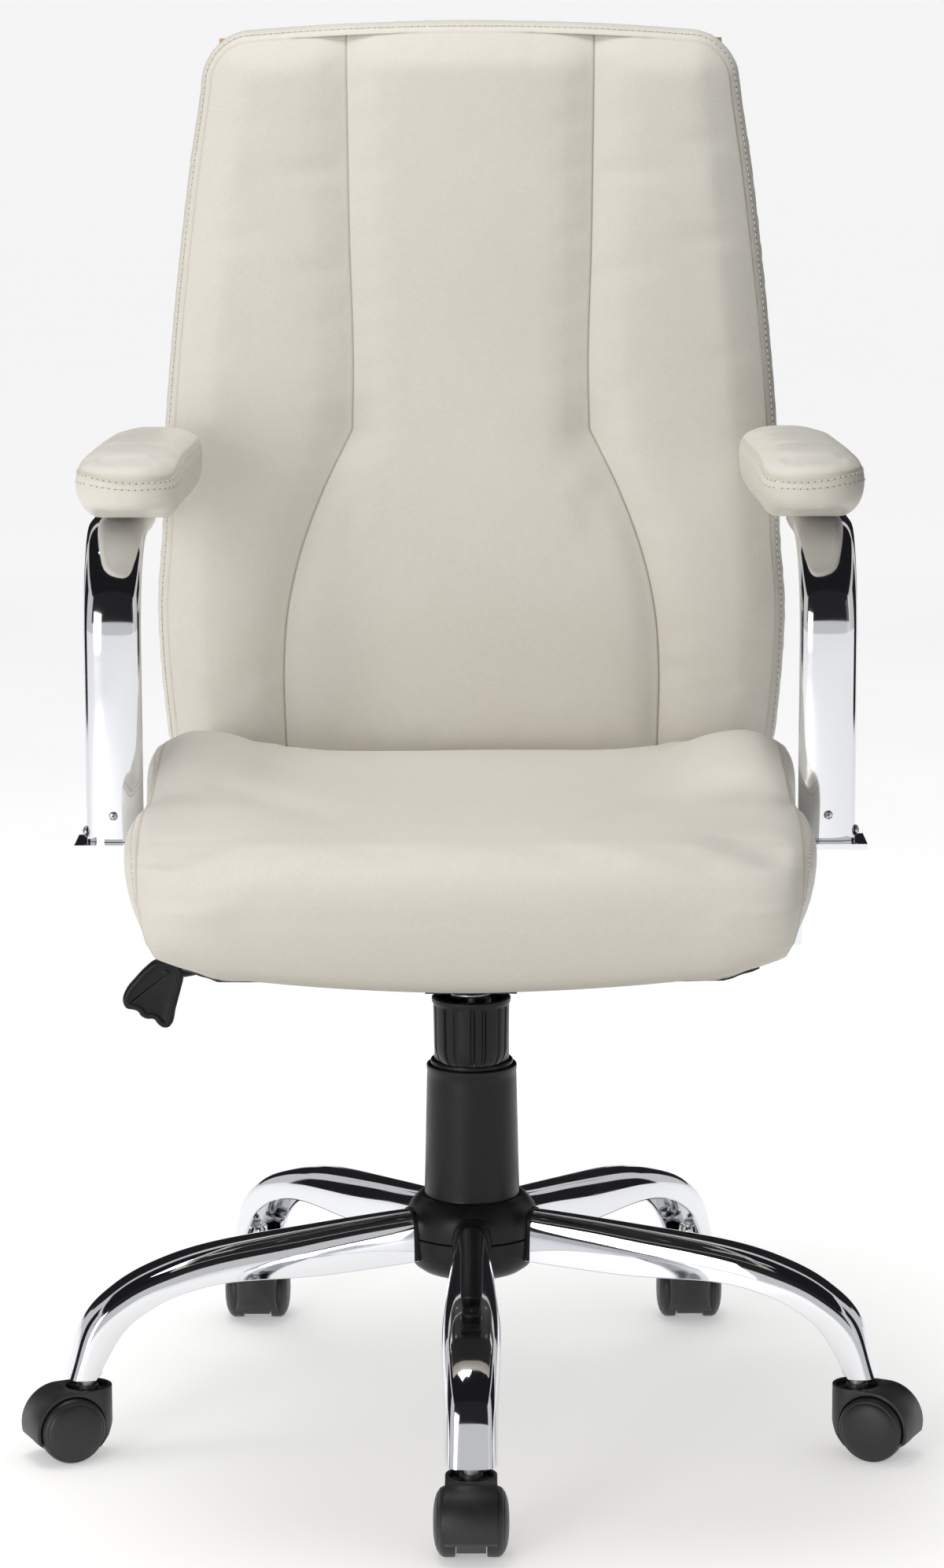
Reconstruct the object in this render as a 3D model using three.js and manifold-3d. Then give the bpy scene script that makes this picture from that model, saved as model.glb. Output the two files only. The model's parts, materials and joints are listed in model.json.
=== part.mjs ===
// A high-backed executive swivel chair: leather seat and back, flat-oval chrome arms with padded rests,
// a five-star base on twin-wheel casters, a gas lift with telescopic covers and a swivel-tilt mechanism.
// Millimetres. +Z is up, the chair faces -Y, and the origin is on the floor below the column.
// Names with left and right are as seen from the front: left is -X.
import * as THREE from "three";
import { mergeVertices } from "three/addons/utils/BufferGeometryUtils.js";
import Module from "manifold-3d";

const wasm = await Module();
wasm.setup();

// ---- Driving dimensions ----
const CLEARANCE = 0.3; // between pieces that touch
const SHEET = 3; // pressed steel sheet of the mechanism

// Base and casters
const STEM_CIRCLE_R = 305; // caster stems around the column
const LEG_ANGLES = [270, 342, 54, 126, 198]; // degrees, front leg first
const TRAIL_ANGLES = [270, 335, 90, 90, 205]; // where each caster trails at rest
const LEG_WALL = 2.6;
const LEG_END_Z = 62;
const WHEEL_R = 25;
const WHEEL_TRAIL = 18;
const WHEEL_INNER = 4.6; // inner face of a wheel, from the caster's mid plane
const WHEEL_OUTER = 27;
const AXLE_R = 3;
const HOOD_HALF_W = 18.5;
const HOOD_R = 28.5;
const HOOD_TOP_Z = 60;
const STEM_R = 5.5;
const HUB_R = 45.5;
const HUB_PART_Z = 148; // parting line of the two hub shells
const SLEEVE_R = 29;

// Column
const TUBE_R = 25;
const TUBE_BOTTOM_Z = 121;
const TUBE_TOP_Z = 318;
const CYLINDER_R = 14;
const CYLINDER_BOTTOM_Z = 146;
const CYLINDER_TOP_Z = 367;
const ROD_R = 4.9;
const COVER_WALL = 1.8;
const COVER_RIM_Z = 280;

// Mechanism
const TILT_Y = -35;
const TILT_Z = 372;
const TILT_RANGE = 12; // degrees
const BOLT_Y = -70;
const HOUSING_HALF_W = 34;
const HOUSING_FLOOR_Z = 356;
const LEVER_Y = 4;
const LEVER_Z = 375.5;
const LEVER_R = 4;
const LOCK_Y = 30;
const KNOB_R = 28.5;
const KNOB_BOTTOM_Z = 298;
const KNOB_TOP_Z = 348;

// Seat
const SEAT_BOTTOM_Z = 396;
const PAN_THICK = 12;
const PLATE_TOP_Z = 395.5;
const SEAT_REAR_Y = 175;

// Back
const BACK_BOTTOM_Z = 468;
const BACK_TOP_Z = 1064;
const BACK_FOAM = 58;
const BACK_PLY = 10;
const BACK_SKIN = 12;

// Arms
const POST_X = 265;
const POST_Y = -60;
const POST_BASE_Z = 465.4;
const ARM_TOP_Z = 690;
const ARM_BEND_R = 75;
const TUBE_W = 42.6;
const TUBE_T = 20;
const PAD_X = 252;

const metal = (color, roughness) => new THREE.MeshStandardMaterial({ color, roughness, metalness: 1 });
const dull = (color, roughness) => new THREE.MeshStandardMaterial({ color, roughness, metalness: 0 });
const CHROME = metal(0xdfe3e8, 0.08);
const STEEL = metal(0x8d9196, 0.35);
const BLACK_STEEL = dull(0x1d1d1f, 0.45);
const BLACK_PLASTIC = dull(0x242427, 0.55);
const NYLON = dull(0xd8d4c8, 0.5);
const LEATHER = dull(0xd9d3c6, 0.5);
const PLYWOOD = dull(0xb08a5a, 0.7);
const FABRIC = dull(0x17171a, 0.95);

// ---- Geometry helpers ----

const radians = THREE.MathUtils.degToRad;
const UP = new THREE.Vector3(0, 0, 1);

// A closed geometry as a solid, whichever way its faces were wound.
function solid(geometry) {
  const bare = geometry.clone();
  bare.deleteAttribute("normal");
  bare.deleteAttribute("uv");
  const merged = mergeVertices(bare, 1e-4);
  const position = merged.getAttribute("position").array;
  const faces = [];
  let volume = 0;
  const corner = (i) => new THREE.Vector3().fromArray(position, 3 * i);
  for (let i = 0; i < merged.index.count; i += 3) {
    const [a, b, c] = merged.index.array.slice(i, i + 3);
    if (a === b || b === c || a === c) continue;
    faces.push(a, b, c);
    volume += corner(a).dot(corner(b).cross(corner(c)));
  }
  if (volume < 0) faces.reverse();
  const mesh = new wasm.Mesh({
    numProp: 3,
    vertProperties: new Float32Array(position),
    triVerts: new Uint32Array(faces),
  });
  return new wasm.Manifold(mesh);
}

function geometryOf(shape) {
  const mesh = shape.getMesh();
  const geometry = new THREE.BufferGeometry();
  geometry.setAttribute("position", new THREE.BufferAttribute(new Float32Array(mesh.vertProperties), 3));
  geometry.setIndex(new THREE.BufferAttribute(new Uint32Array(mesh.triVerts), 1));
  return geometry;
}

// A node: one solid, one material, one name.
function node(name, shape, material) {
  const mesh = new THREE.Mesh(geometryOf(shape), material);
  mesh.name = name;
  return mesh;
}

const union = (...shapes) => shapes.reduce((whole, shape) => whole.add(shape));

function box(x0, x1, y0, y1, z0, z1) {
  const geometry = new THREE.BoxGeometry(x1 - x0, y1 - y0, z1 - z0);
  return solid(geometry.translate((x0 + x1) / 2, (y0 + y1) / 2, (z0 + z1) / 2));
}

// A profile of [radius, height] turned about the Z axis.
function turned(profile, segments = 20) {
  const points = profile.map(([r, z]) => new THREE.Vector2(r, z));
  const geometry = new THREE.LatheGeometry(points, segments);
  return geometry.rotateX(Math.PI / 2);
}

// A round ring or tube about Z; a zero inner radius gives a full cylinder.
function ring(inner, outer, z0, z1, segments = 20) {
  const outside = [[outer, z0], [outer, z1]];
  const bored = [[inner, z0], ...outside, [inner, z1], [inner, z0]];
  const profile = inner > 0 ? bored : [[0, z0], ...outside, [0, z1]];
  return solid(turned(profile, segments));
}

const tubeAt = (x, y, r, z0, z1, segments = 10) =>
  solid(turned([[0, z0], [r, z0], [r, z1], [0, z1]], segments).translate(x, y, 0));

// A cylinder along X, centred on a point of the YZ plane.
function crossBar(y, z, r, x0, x1, segments = 12) {
  const geometry = new THREE.CylinderGeometry(r, r, x1 - x0, segments);
  return solid(geometry.rotateZ(Math.PI / 2).translate((x0 + x1) / 2, y, z));
}

// A cylinder along Y, centred on a point of the XZ plane.
function axleBar(x, z, r, y0, y1, segments = 12) {
  const geometry = new THREE.CylinderGeometry(r, r, y1 - y0, segments);
  return solid(geometry.translate(x, (y0 + y1) / 2, z));
}

// An outline of [a, b] points pulled up along Z.
function plate(outline, z0, z1) {
  const shape = new THREE.Shape(outline.map(([a, b]) => new THREE.Vector2(a, b)));
  const geometry = new THREE.ExtrudeGeometry(shape, { depth: z1 - z0, bevelEnabled: false });
  return solid(geometry.translate(0, 0, z0));
}

// An outline of [y, z] points pulled along X.
function sidePlate(outline, x0, x1) {
  const shape = new THREE.Shape(outline.map(([y, z]) => new THREE.Vector2(y, z)));
  const geometry = new THREE.ExtrudeGeometry(shape, { depth: x1 - x0, bevelEnabled: false });
  geometry.rotateX(Math.PI / 2).rotateZ(Math.PI / 2);
  return solid(geometry.translate(x0, 0, 0));
}

// A closed skin through rings of points that all have the same count, with flat ends.
function loft(rings) {
  const count = rings[0].length;
  const positions = rings.flat().flatMap((p) => [p.x, p.y, p.z]);
  const faces = [];
  for (let i = 0; i + 1 < rings.length; i++) {
    for (let j = 0; j < count; j++) {
      const a = i * count + j;
      const b = i * count + ((j + 1) % count);
      faces.push(a, b, b + count, a, b + count, a + count);
    }
  }
  for (const [first, flip] of [[0, true], [(rings.length - 1) * count, false]]) {
    const end = rings[first / count];
    const across = end[Math.floor(count / 4)].clone().sub(end[Math.floor((3 * count) / 4)]).normalize();
    const along = end[0].clone().sub(end[Math.floor(count / 2)]);
    along.addScaledVector(across, -along.dot(across)).normalize();
    const flat = end.map((p) => new THREE.Vector2(p.dot(across), p.dot(along)));
    const turn = THREE.ShapeUtils.isClockWise(flat);
    for (const [a, b, c] of THREE.ShapeUtils.triangulateShape(turn ? [...flat].reverse() : flat, [])) {
      const at = (k) => first + (turn ? count - 1 - k : k);
      const face = [at(a), at(b), at(c)];
      const normal = (u, v, w) => {
        const [p, q, r] = [u, v, w].map((k) => end[k - first]);
        return q.clone().sub(p).cross(r.clone().sub(p));
      };
      const addCorner = (sum, p, k) => sum.add(p.clone().cross(end[(k + 1) % count]));
      const loop = end.reduce(addCorner, new THREE.Vector3());
      const agrees = normal(...face).dot(loop) > 0;
      faces.push(...(agrees === flip ? face.reverse() : face));
    }
  }
  const geometry = new THREE.BufferGeometry();
  geometry.setAttribute("position", new THREE.Float32BufferAttribute(positions, 3));
  geometry.setIndex(faces);
  return solid(geometry);
}

// A value read off a list of [position, value] points, smoothly between them.
function along(points, t) {
  const last = points.length - 1;
  if (t <= points[0][0]) return points[0][1];
  if (t >= points[last][0]) return points[last][1];
  const i = points.findIndex((p, k) => k < last && t <= points[k + 1][0]);
  const slope = (k) => {
    const [lo, hi] = [points[Math.max(k - 1, 0)], points[Math.min(k + 1, last)]];
    return (hi[1] - lo[1]) / (hi[0] - lo[0]);
  };
  const span = points[i + 1][0] - points[i][0];
  const u = (t - points[i][0]) / span;
  const h00 = 2 * u ** 3 - 3 * u ** 2 + 1;
  const h10 = u ** 3 - 2 * u ** 2 + u;
  return h00 * points[i][1] + h10 * span * slope(i) + (1 - h00) * points[i + 1][1]
    + (u ** 3 - u ** 2) * span * slope(i + 1);
}

// Points of a rounded rectangle, anticlockwise, with its corners as superellipse quarters.
function roundedRing(halfA, halfB, power, count) {
  return Array.from({ length: count }, (_, k) => {
    const angle = (2 * Math.PI * (k + 0.5)) / count;
    const [c, s] = [Math.cos(angle), Math.sin(angle)];
    const reach = (v) => Math.sign(v) * Math.abs(v) ** (2 / power);
    return [halfA * reach(c), halfB * reach(s)];
  });
}

// ---- Base ----

// Upper and lower edges of a leg seen from the side, as [distance from the column, height, half width].
const LEG_TOP = [
  [29.6, 166], [50, 168], [130, 162], [204, 154.5], [250, 143], [283, 127], [307, 104], [321.5, 62],
];
const LEG_LOW = [
  [29.6, 133], [50, 131], [125, 128], [197, 130], [236, 124], [262, 113], [283, 96], [303, 62],
];
const LEG_HALF_W = [
  [29.6, 13], [46, 15], [104, 17.5], [159, 20.5], [205, 22], [260, 22], [297, 20.5], [321.5, 19],
];
// Cross-section: [share of the half width, share of the height], from the lower edge over the crown.
const LEG_SECTION = [[1, 0], [0.94, 0.45], [0.9, 0.74], [0.62, 0.93], [0.2, 1]];

function legRings(grow, from, to, drop) {
  const half = [...LEG_SECTION, ...LEG_SECTION.map(([u, v]) => [-u, v]).reverse()];
  const rings = [];
  for (let i = from; i <= to; i++) {
    const top = new THREE.Vector2(...LEG_TOP[i]);
    const low = new THREE.Vector2(...LEG_LOW[i]);
    const up = top.clone().sub(low).normalize();
    const width = along(LEG_HALF_W, top.x) + grow;
    const start = low.clone().addScaledVector(up, grow > 0 ? -grow : -drop);
    const height = top.clone().addScaledVector(up, grow).distanceTo(start);
    rings.push(half.map(([u, v]) => {
      const p = start.clone().addScaledVector(up, v * height);
      return new THREE.Vector3(p.x, u * width, p.y);
    }));
  }
  return rings;
}

function leg() {
  const last = LEG_TOP.length - 1;
  const body = loft(legRings(0, 0, last, 0));
  const channel = loft(legRings(-LEG_WALL, 1, last - 1, 6));
  const boss = solid(turned([[0, LEG_END_Z], [11.5, LEG_END_Z], [8.6, 84], [0, 84]], 10)
    .translate(STEM_CIRCLE_R, 0, 0));
  const bore = tubeAt(STEM_CIRCLE_R, 0, STEM_R + CLEARANCE, LEG_END_Z - 1, 90);
  return body.subtract(channel).add(boss).subtract(bore);
}

function turnedTo(shape, degrees) {
  return shape.rotate([0, 0, degrees]);
}

function base() {
  const group = new THREE.Group();
  const oneLeg = leg();
  LEG_ANGLES.forEach((angle, i) => {
    const arm = new THREE.Group();
    arm.rotation.z = radians(angle);
    arm.add(node(`base_leg_${i + 1}`, oneLeg, CHROME));
    arm.add(node(`caster_stem_${i + 1}`, tubeAt(STEM_CIRCLE_R, 0, STEM_R, 45.4, 88), STEEL));
    group.add(arm);
  });

  const legRoom = LEG_ANGLES.map((angle) => turnedTo(loft(legRings(0.5, 0, 2, 0)), angle));
  const cutLegs = (shell) => legRoom.reduce((rest, room) => rest.subtract(room), shell);
  const upper = solid(turned([
    [43, HUB_PART_Z + 0.2], [HUB_R, HUB_PART_Z + 0.2], [HUB_R, 160], [43.4, 170], [38.2, 178],
    [36.9, 178], [36.9, 171], [30, 171], [30, 168.7], [41.4, 168.7], [43, HUB_PART_Z + 0.2],
  ], 25));
  const lower = solid(turned([
    [43, HUB_PART_Z - 0.2], [HUB_R, HUB_PART_Z - 0.2], [HUB_R, 138], [42.4, 126], [30, 116],
    [12, 116], [12, 118], [29, 119.4], [40, 128], [43, 138], [43, HUB_PART_Z - 0.2],
  ], 25));
  group.add(node("hub_upper_shell", cutLegs(upper), BLACK_PLASTIC));
  group.add(node("hub_lower_shell", cutLegs(lower), BLACK_PLASTIC));
  group.add(node("hub_sleeve", ring(TUBE_R + CLEARANCE, SLEEVE_R, 121, 167), BLACK_STEEL));

  const floorZ = TUBE_BOTTOM_Z + SHEET;
  group.add(node("column_tube", solid(turned([
    [ROD_R + 0.5, TUBE_BOTTOM_Z], [TUBE_R, TUBE_BOTTOM_Z], [TUBE_R, TUBE_TOP_Z], [TUBE_R - 1.5, TUBE_TOP_Z],
    [TUBE_R - 1.5, floorZ], [ROD_R + 0.5, floorZ], [ROD_R + 0.5, TUBE_BOTTOM_Z],
  ])), BLACK_STEEL));
  const bush = ring(CYLINDER_R + CLEARANCE, TUBE_R - 1.5 - CLEARANCE, 242, TUBE_TOP_Z);
  group.add(node("column_bush", bush, NYLON));
  group.add(node("thrust_bearing", ring(ROD_R + 0.8, 13, floorZ + CLEARANCE, floorZ + 4), STEEL));
  group.add(node("cover_lower", cover(36.5, 34, 171.3, COVER_RIM_Z), BLACK_PLASTIC));
  return group;
}

// A telescopic cover: a thin tube that may taper from its foot to its rim.
function cover(footR, rimR, z0, z1) {
  return solid(turned([
    [footR - COVER_WALL, z0], [footR, z0], [rimR, z1], [rimR - COVER_WALL, z1], [footR - COVER_WALL, z0],
  ], 24));
}

// ---- Casters ----

// A caster hood in its own frame: the stem is the Z axis, the wheels trail towards +X, the axle is along Y.
function casterHood() {
  const arc = Array.from({ length: 9 }, (_, k) => {
    const angle = radians(90 - (105 * k) / 8);
    return [WHEEL_TRAIL + HOOD_R * Math.cos(angle), WHEEL_R + HOOD_R * Math.sin(angle)];
  });
  const side = [
    [-HOOD_HALF_W, HOOD_TOP_Z], [-HOOD_HALF_W, 29], [-11, 19], [-2, 12], [36, 12], ...arc.reverse(),
    [HOOD_HALF_W, 53.5], [HOOD_HALF_W, HOOD_TOP_Z],
  ];
  const sideShape = new THREE.Shape(side.map(([x, z]) => new THREE.Vector2(x, z)));
  const slab = new THREE.ExtrudeGeometry(sideShape, { depth: 2 * HOOD_HALF_W, bevelEnabled: false });
  const profile = solid(slab.rotateX(Math.PI / 2).translate(0, HOOD_HALF_W, 0));
  const front = Array.from({ length: 9 }, (_, k) => {
    const angle = radians(90 + 22.5 * k);
    return [HOOD_HALF_W * Math.cos(angle), HOOD_HALF_W * Math.sin(angle)];
  });
  const plan = plate([...front, [60, -HOOD_HALF_W], [60, HOOD_HALF_W]], 0, 70);
  const wells = [-1, 1].map((s) =>
    axleBar(WHEEL_TRAIL, WHEEL_R, WHEEL_R + 1.2, Math.min(4 * s, 20 * s), Math.max(4 * s, 20 * s), 18));
  const cup = ring(0, HOOD_HALF_W - 2.6, 51, 61, 12);
  const post = ring(0, 8.2, 50, HOOD_TOP_Z - 1.5, 8);
  const bore = ring(0, STEM_R + 0.5, 45, 61, 10);
  const axle = axleBar(WHEEL_TRAIL, WHEEL_R, AXLE_R, -24.2, 24.2, 8);
  const hollow = profile.intersect(plan).subtract(wells[0]).subtract(wells[1]).subtract(cup);
  return hollow.add(post).subtract(bore).add(axle);
}

// One wheel of the pair, on the +Y side.
function casterWheel() {
  const bore = AXLE_R + 0.3;
  const profile = [
    [0, WHEEL_OUTER], [16, WHEEL_OUTER - 1.3], [23.5, WHEEL_OUTER - 5], [WHEEL_R, WHEEL_OUTER - 8.5],
    [WHEEL_R, WHEEL_INNER], [bore, WHEEL_INNER], [bore, 24.5], [0, 24.5],
  ];
  return solid(turned(profile, 18).rotateX(-Math.PI / 2).translate(WHEEL_TRAIL, 0, WHEEL_R));
}

function casters() {
  const group = new THREE.Group();
  const hood = casterHood();
  const right = casterWheel();
  const left = right.mirror([0, 1, 0]);
  LEG_ANGLES.forEach((angle, i) => {
    const caster = new THREE.Group();
    caster.position.set(STEM_CIRCLE_R, 0, 0).applyAxisAngle(UP, radians(angle));
    caster.rotation.z = radians(TRAIL_ANGLES[i]);
    caster.add(node(`caster_hood_${i + 1}`, hood, BLACK_PLASTIC));
    caster.add(node(`wheel_a_${i + 1}`, left, BLACK_PLASTIC));
    caster.add(node(`wheel_b_${i + 1}`, right, BLACK_PLASTIC));
    group.add(caster);
  });
  return group;
}

// ---- Gas lift and covers that rise with it ----

function lift() {
  const group = new THREE.Group();
  const plateTop = TUBE_BOTTOM_Z + SHEET + 4;
  group.add(node("piston_rod", solid(turned([
    [0, 117.4], [ROD_R, 117.4], [ROD_R, plateTop + CLEARANCE], [11.5, plateTop + CLEARANCE],
    [11.5, plateTop + 3.5], [ROD_R, plateTop + 3.5], [ROD_R, 256], [11.8, 256], [11.8, 264], [0, 264],
  ], 16)), STEEL));
  group.add(node("rod_clip", ring(ROD_R + 0.2, 8.5, 118.6, 120.4, 20), STEEL));
  group.add(node("gas_cylinder", solid(turned([
    [ROD_R + CLEARANCE, CYLINDER_BOTTOM_Z], [CYLINDER_R, CYLINDER_BOTTOM_Z], [CYLINDER_R, 338],
    [CYLINDER_R - 0.7, CYLINDER_TOP_Z], [3.3, CYLINDER_TOP_Z], [3.3, 341], [12.3, 338],
    [12.3, CYLINDER_BOTTOM_Z + 3], [ROD_R + CLEARANCE, CYLINDER_BOTTOM_Z + 3],
    [ROD_R + CLEARANCE, CYLINDER_BOTTOM_Z],
  ])), STEEL));
  group.add(node("release_button", ring(0, 2.9, 345, CYLINDER_TOP_Z + 4, 16), STEEL));
  group.add(node("cover_middle", cover(31.3, 31.3, 178, 283.5), BLACK_PLASTIC));
  group.add(node("cover_upper", cover(28.6, 28.6, 183, HOUSING_FLOOR_Z - CLEARANCE), BLACK_PLASTIC));
  return group;
}

// ---- Swivel-tilt mechanism ----

function housing() {
  const wallSide = [[-100, HOUSING_FLOOR_Z], [-100, 368], [-52, 368], [-44, 381], [-26, 381], [24, 379.5],
    [72, 366], [72, HOUSING_FLOOR_Z]];
  const w = HOUSING_HALF_W;
  const shell = union(
    box(-w, w, -100, 72, HOUSING_FLOOR_Z, HOUSING_FLOOR_Z + SHEET),
    sidePlate(wallSide, -w, -w + SHEET),
    sidePlate(wallSide, w - SHEET, w),
    box(-w, w, -100, -100 + SHEET, HOUSING_FLOOR_Z, 368),
    box(-w, w, 72 - SHEET, 72, HOUSING_FLOOR_Z, 366),
    ring(0, 20, 338, 365.5, 16),
  );
  return [
    ring(0, CYLINDER_R + CLEARANCE + 0.2, 330, 380, 20),
    tubeAt(0, BOLT_Y, 6.5, HOUSING_FLOOR_Z - 1, HOUSING_FLOOR_Z + 5),
    crossBar(TILT_Y, TILT_Z, 5.4, -40, 40),
    box(-40, -28, LEVER_Y - 6.5, LEVER_Y + 6.5, LEVER_Z - 6.5, 384),
    box(28, 40, LOCK_Y - 7, LOCK_Y + 7, 363, 371),
  ].reduce((rest, cut) => rest.subtract(cut), shell);
}

// The part of the mechanism that tilts with the seat: a frame with side ears on the axle, a front tongue that
// pulls on the tension bolt, and lock windows in its right ear for the upright and the tilted position.
function seatPlate() {
  const x0 = HOUSING_HALF_W + 2.5;
  const x1 = x0 + SHEET;
  const top = PLATE_TOP_Z;
  const longEar = [[-92, top], [-92, 373], [-50, 366], [-22, 362], [44, 360], [52, 370], [52, top]];
  const shortEar = [[-92, top], [-92, 373], [-50, 366], [-30, 362], [-18, 366], [-18, top]];
  const frame = box(-100, 100, -112, 98, top - SHEET, top).subtract(box(-x0, x0, -52, 90, 380, 400));
  const tongue = box(-x0 - 1, x0 + 1, -92, -56, 374, 377);
  const slot = box(-5.5, 5.5, BOLT_Y - 8, BOLT_Y + 8, 370, 380);
  const lockRoom = box(30, 50, LOCK_Y - 7.5, LOCK_Y + 7.5, 362.5, 371.5);
  const tilted = lockRoom.translate([0, -TILT_Y, -TILT_Z]).rotate([TILT_RANGE, 0, 0])
    .translate([0, TILT_Y, TILT_Z]);
  const ears = union(sidePlate(longEar, x0, x1), sidePlate(shortEar, -x1, -x0));
  return union(frame, ears, tongue).subtract(slot).subtract(lockRoom).subtract(tilted)
    .subtract(crossBar(TILT_Y, TILT_Z, 5.4, -50, 50));
}

// A round-wire compression spring about the tension bolt.
function spring() {
  const turns = 4;
  const steps = 32;
  const [low, high, meanR, wireR] = [307.5, 352.5, 13.5, 2];
  const rings = Array.from({ length: steps + 1 }, (_, i) => {
    const angle = (2 * Math.PI * turns * i) / steps;
    const out = new THREE.Vector3(Math.cos(angle), Math.sin(angle), 0);
    const height = low + ((high - low) * i) / steps;
    const centre = out.clone().multiplyScalar(meanR).add(new THREE.Vector3(0, BOLT_Y, height));
    return Array.from({ length: 5 }, (_, k) => {
      const around = (2 * Math.PI * k) / 5;
      return centre.clone().addScaledVector(out, wireR * Math.cos(around))
        .add(new THREE.Vector3(0, 0, wireR * Math.sin(around)));
    });
  });
  return loft(rings);
}

function knob() {
  return solid(turned([
    [4.5, KNOB_BOTTOM_Z], [22, KNOB_BOTTOM_Z], [KNOB_R - 0.6, 308], [KNOB_R, 342], [KNOB_R + 1.1, 344],
    [KNOB_R + 1.1, KNOB_TOP_Z], [25.8, KNOB_TOP_Z], [25.4, 304], [8, 304], [8, 316], [4.5, 316],
    [4.5, KNOB_BOTTOM_Z],
  ], 20).translate(0, BOLT_Y, 0));
}

// Centre line of the lever, from above the release button to the paddle.
const LEVER_PATH = [[5, LEVER_Y, LEVER_Z], [-40, LEVER_Y, LEVER_Z], [-62, LEVER_Y - 6, LEVER_Z - 1],
  [-205, -54, 367.5], [-228, -61, 365]];

function sweptTube(path, r, sides) {
  const points = path.map((p) => new THREE.Vector3(...p));
  return loft(points.map((p, i) => {
    const next = points[Math.min(i + 1, points.length - 1)];
    const ahead = next.clone().sub(points[Math.max(i - 1, 0)]).normalize();
    const across = new THREE.Vector3(0, 0, 1).cross(ahead).normalize();
    const up = ahead.clone().cross(across);
    return Array.from({ length: sides }, (_, k) => {
      const angle = (2 * Math.PI * k) / sides;
      return p.clone().addScaledVector(across, r * Math.cos(angle)).addScaledVector(up, r * Math.sin(angle));
    });
  }));
}

// The paddle: a hollow-faced plate with a rim and a scalloped lower edge, socketed on the rod.
function paddle() {
  const outline = [[-219, 373], [-236, 374], [-252, 360], [-261, 346], [-259, 338], [-250, 336], [-245, 330],
    [-237, 330], [-232, 323], [-225, 325], [-221, 338], [-216, 360]];
  const thick = 12;
  const frame = (points, y0, y1) => {
    const shape = new THREE.Shape(points.map(([x, z]) => new THREE.Vector2(x, z)));
    const geometry = new THREE.ExtrudeGeometry(shape, { depth: y1 - y0, bevelEnabled: false });
    return solid(geometry.rotateX(Math.PI / 2).translate(0, y1, 0));
  };
  const centre = [-237, 348];
  const shrunk = (value, middle, share) => middle + (value - middle) * share;
  const inner = outline.map(([x, z]) => [shrunk(x, centre[0], 0.78), shrunk(z, centre[1], 0.8) - 2]);
  const y = -62;
  const body = frame(outline, y - thick / 2, y + thick / 2).subtract(frame(inner, y - thick, y - 1));
  const socket = sweptTube([[-206, -54.5, 367.4], [-232, -62.2, 364.6]], LEVER_R + 2.6, 14);
  const rodPath = [[-195, -51, 368.6], [-205, -54, 367.5], [-229, -61.3, 364.9]];
  const rodRoom = sweptTube(rodPath, LEVER_R + CLEARANCE, 14);
  return body.add(socket).subtract(rodRoom);
}

function mechanism() {
  const group = new THREE.Group();
  group.add(node("mech_housing", housing(), BLACK_STEEL));
  group.add(node("tilt_axle", crossBar(TILT_Y, TILT_Z, 5, -44, 44), STEEL));
  group.add(node("tension_bolt", union(
    tubeAt(0, BOLT_Y, 4, 299, 382, 16),
    tubeAt(0, BOLT_Y, 9, 380.4, 384, 16),
  ), STEEL));
  group.add(node("tension_spring", spring(), STEEL));
  group.add(node("tension_knob", knob(), BLACK_PLASTIC));
  group.add(node("lever_rod", sweptTube(LEVER_PATH, LEVER_R, 12), STEEL));
  group.add(node("lever_paddle", paddle(), BLACK_PLASTIC));
  group.add(node("lock_plate", box(-24, 35, LOCK_Y - 6, LOCK_Y + 6, 364, 367.5), STEEL));
  return group;
}

// ---- Seat ----

// Seat cushion along Y: [y, half width, top at the centre, top at the side, middle of the side, bottom].
const SEAT_STATIONS = [
  [-274, 196, 452, 448, 436, 420],
  [-270, 212, 463, 458, 436, 408],
  [-258, 228, 477, 473, 438, 399],
  [-236, 240, 487, 484, 440, 396],
  [-200, 247, 494, 492, 441, 396],
  [-150, 250, 498, 500, 442, 396],
  [-118, 246.5, 499, 507, 442, 396],
  [-86, 240.5, 499, 514, 442, 396],
  [-50, 239, 499, 522, 442, 396],
  [10, 237, 498, 529, 442, 396],
  [70, 236, 498, 530, 442, 396],
  [120, 234, 498, 524, 442, 396],
  [155, 230, 497, 512, 442, 396],
  [170, 224, 492, 500, 442, 398],
  [SEAT_REAR_Y, 214, 478, 482, 440, 408],
];

function seatCushion() {
  const rings = SEAT_STATIONS.map(([y, w, centre, side, middle, bottom]) => {
    const half = [
      [0, bottom], [w * 0.55, bottom], [w * 0.9, bottom + 1], [w * 0.97, bottom + (middle - bottom) * 0.5],
      [w, middle], [w * 0.995, middle + (side - middle) * 0.55], [w * 0.965, side - (side - middle) * 0.14],
      [w * 0.89, side], [w * 0.75, centre + (side - centre) * 0.7], [w * 0.5, centre + (side - centre) * 0.2],
      [w * 0.25, centre + (side - centre) * 0.03], [0, centre],
    ];
    const mirrored = half.slice(1, -1).map(([x, z]) => [-x, z]).reverse();
    return [...half, ...mirrored].map(([x, z]) => new THREE.Vector3(x, y, z));
  });
  return loft(rings);
}

const panOutline = (grow) => [
  [-196, 156], [-204, 60], [-208, -100], [-204, -190], [-180, -228], [0, -236],
  [180, -228], [204, -190], [208, -100], [204, 60], [196, 156],
].map(([x, y]) => [x + Math.sign(x) * grow, y + Math.sign(y + 40) * grow]);

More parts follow.
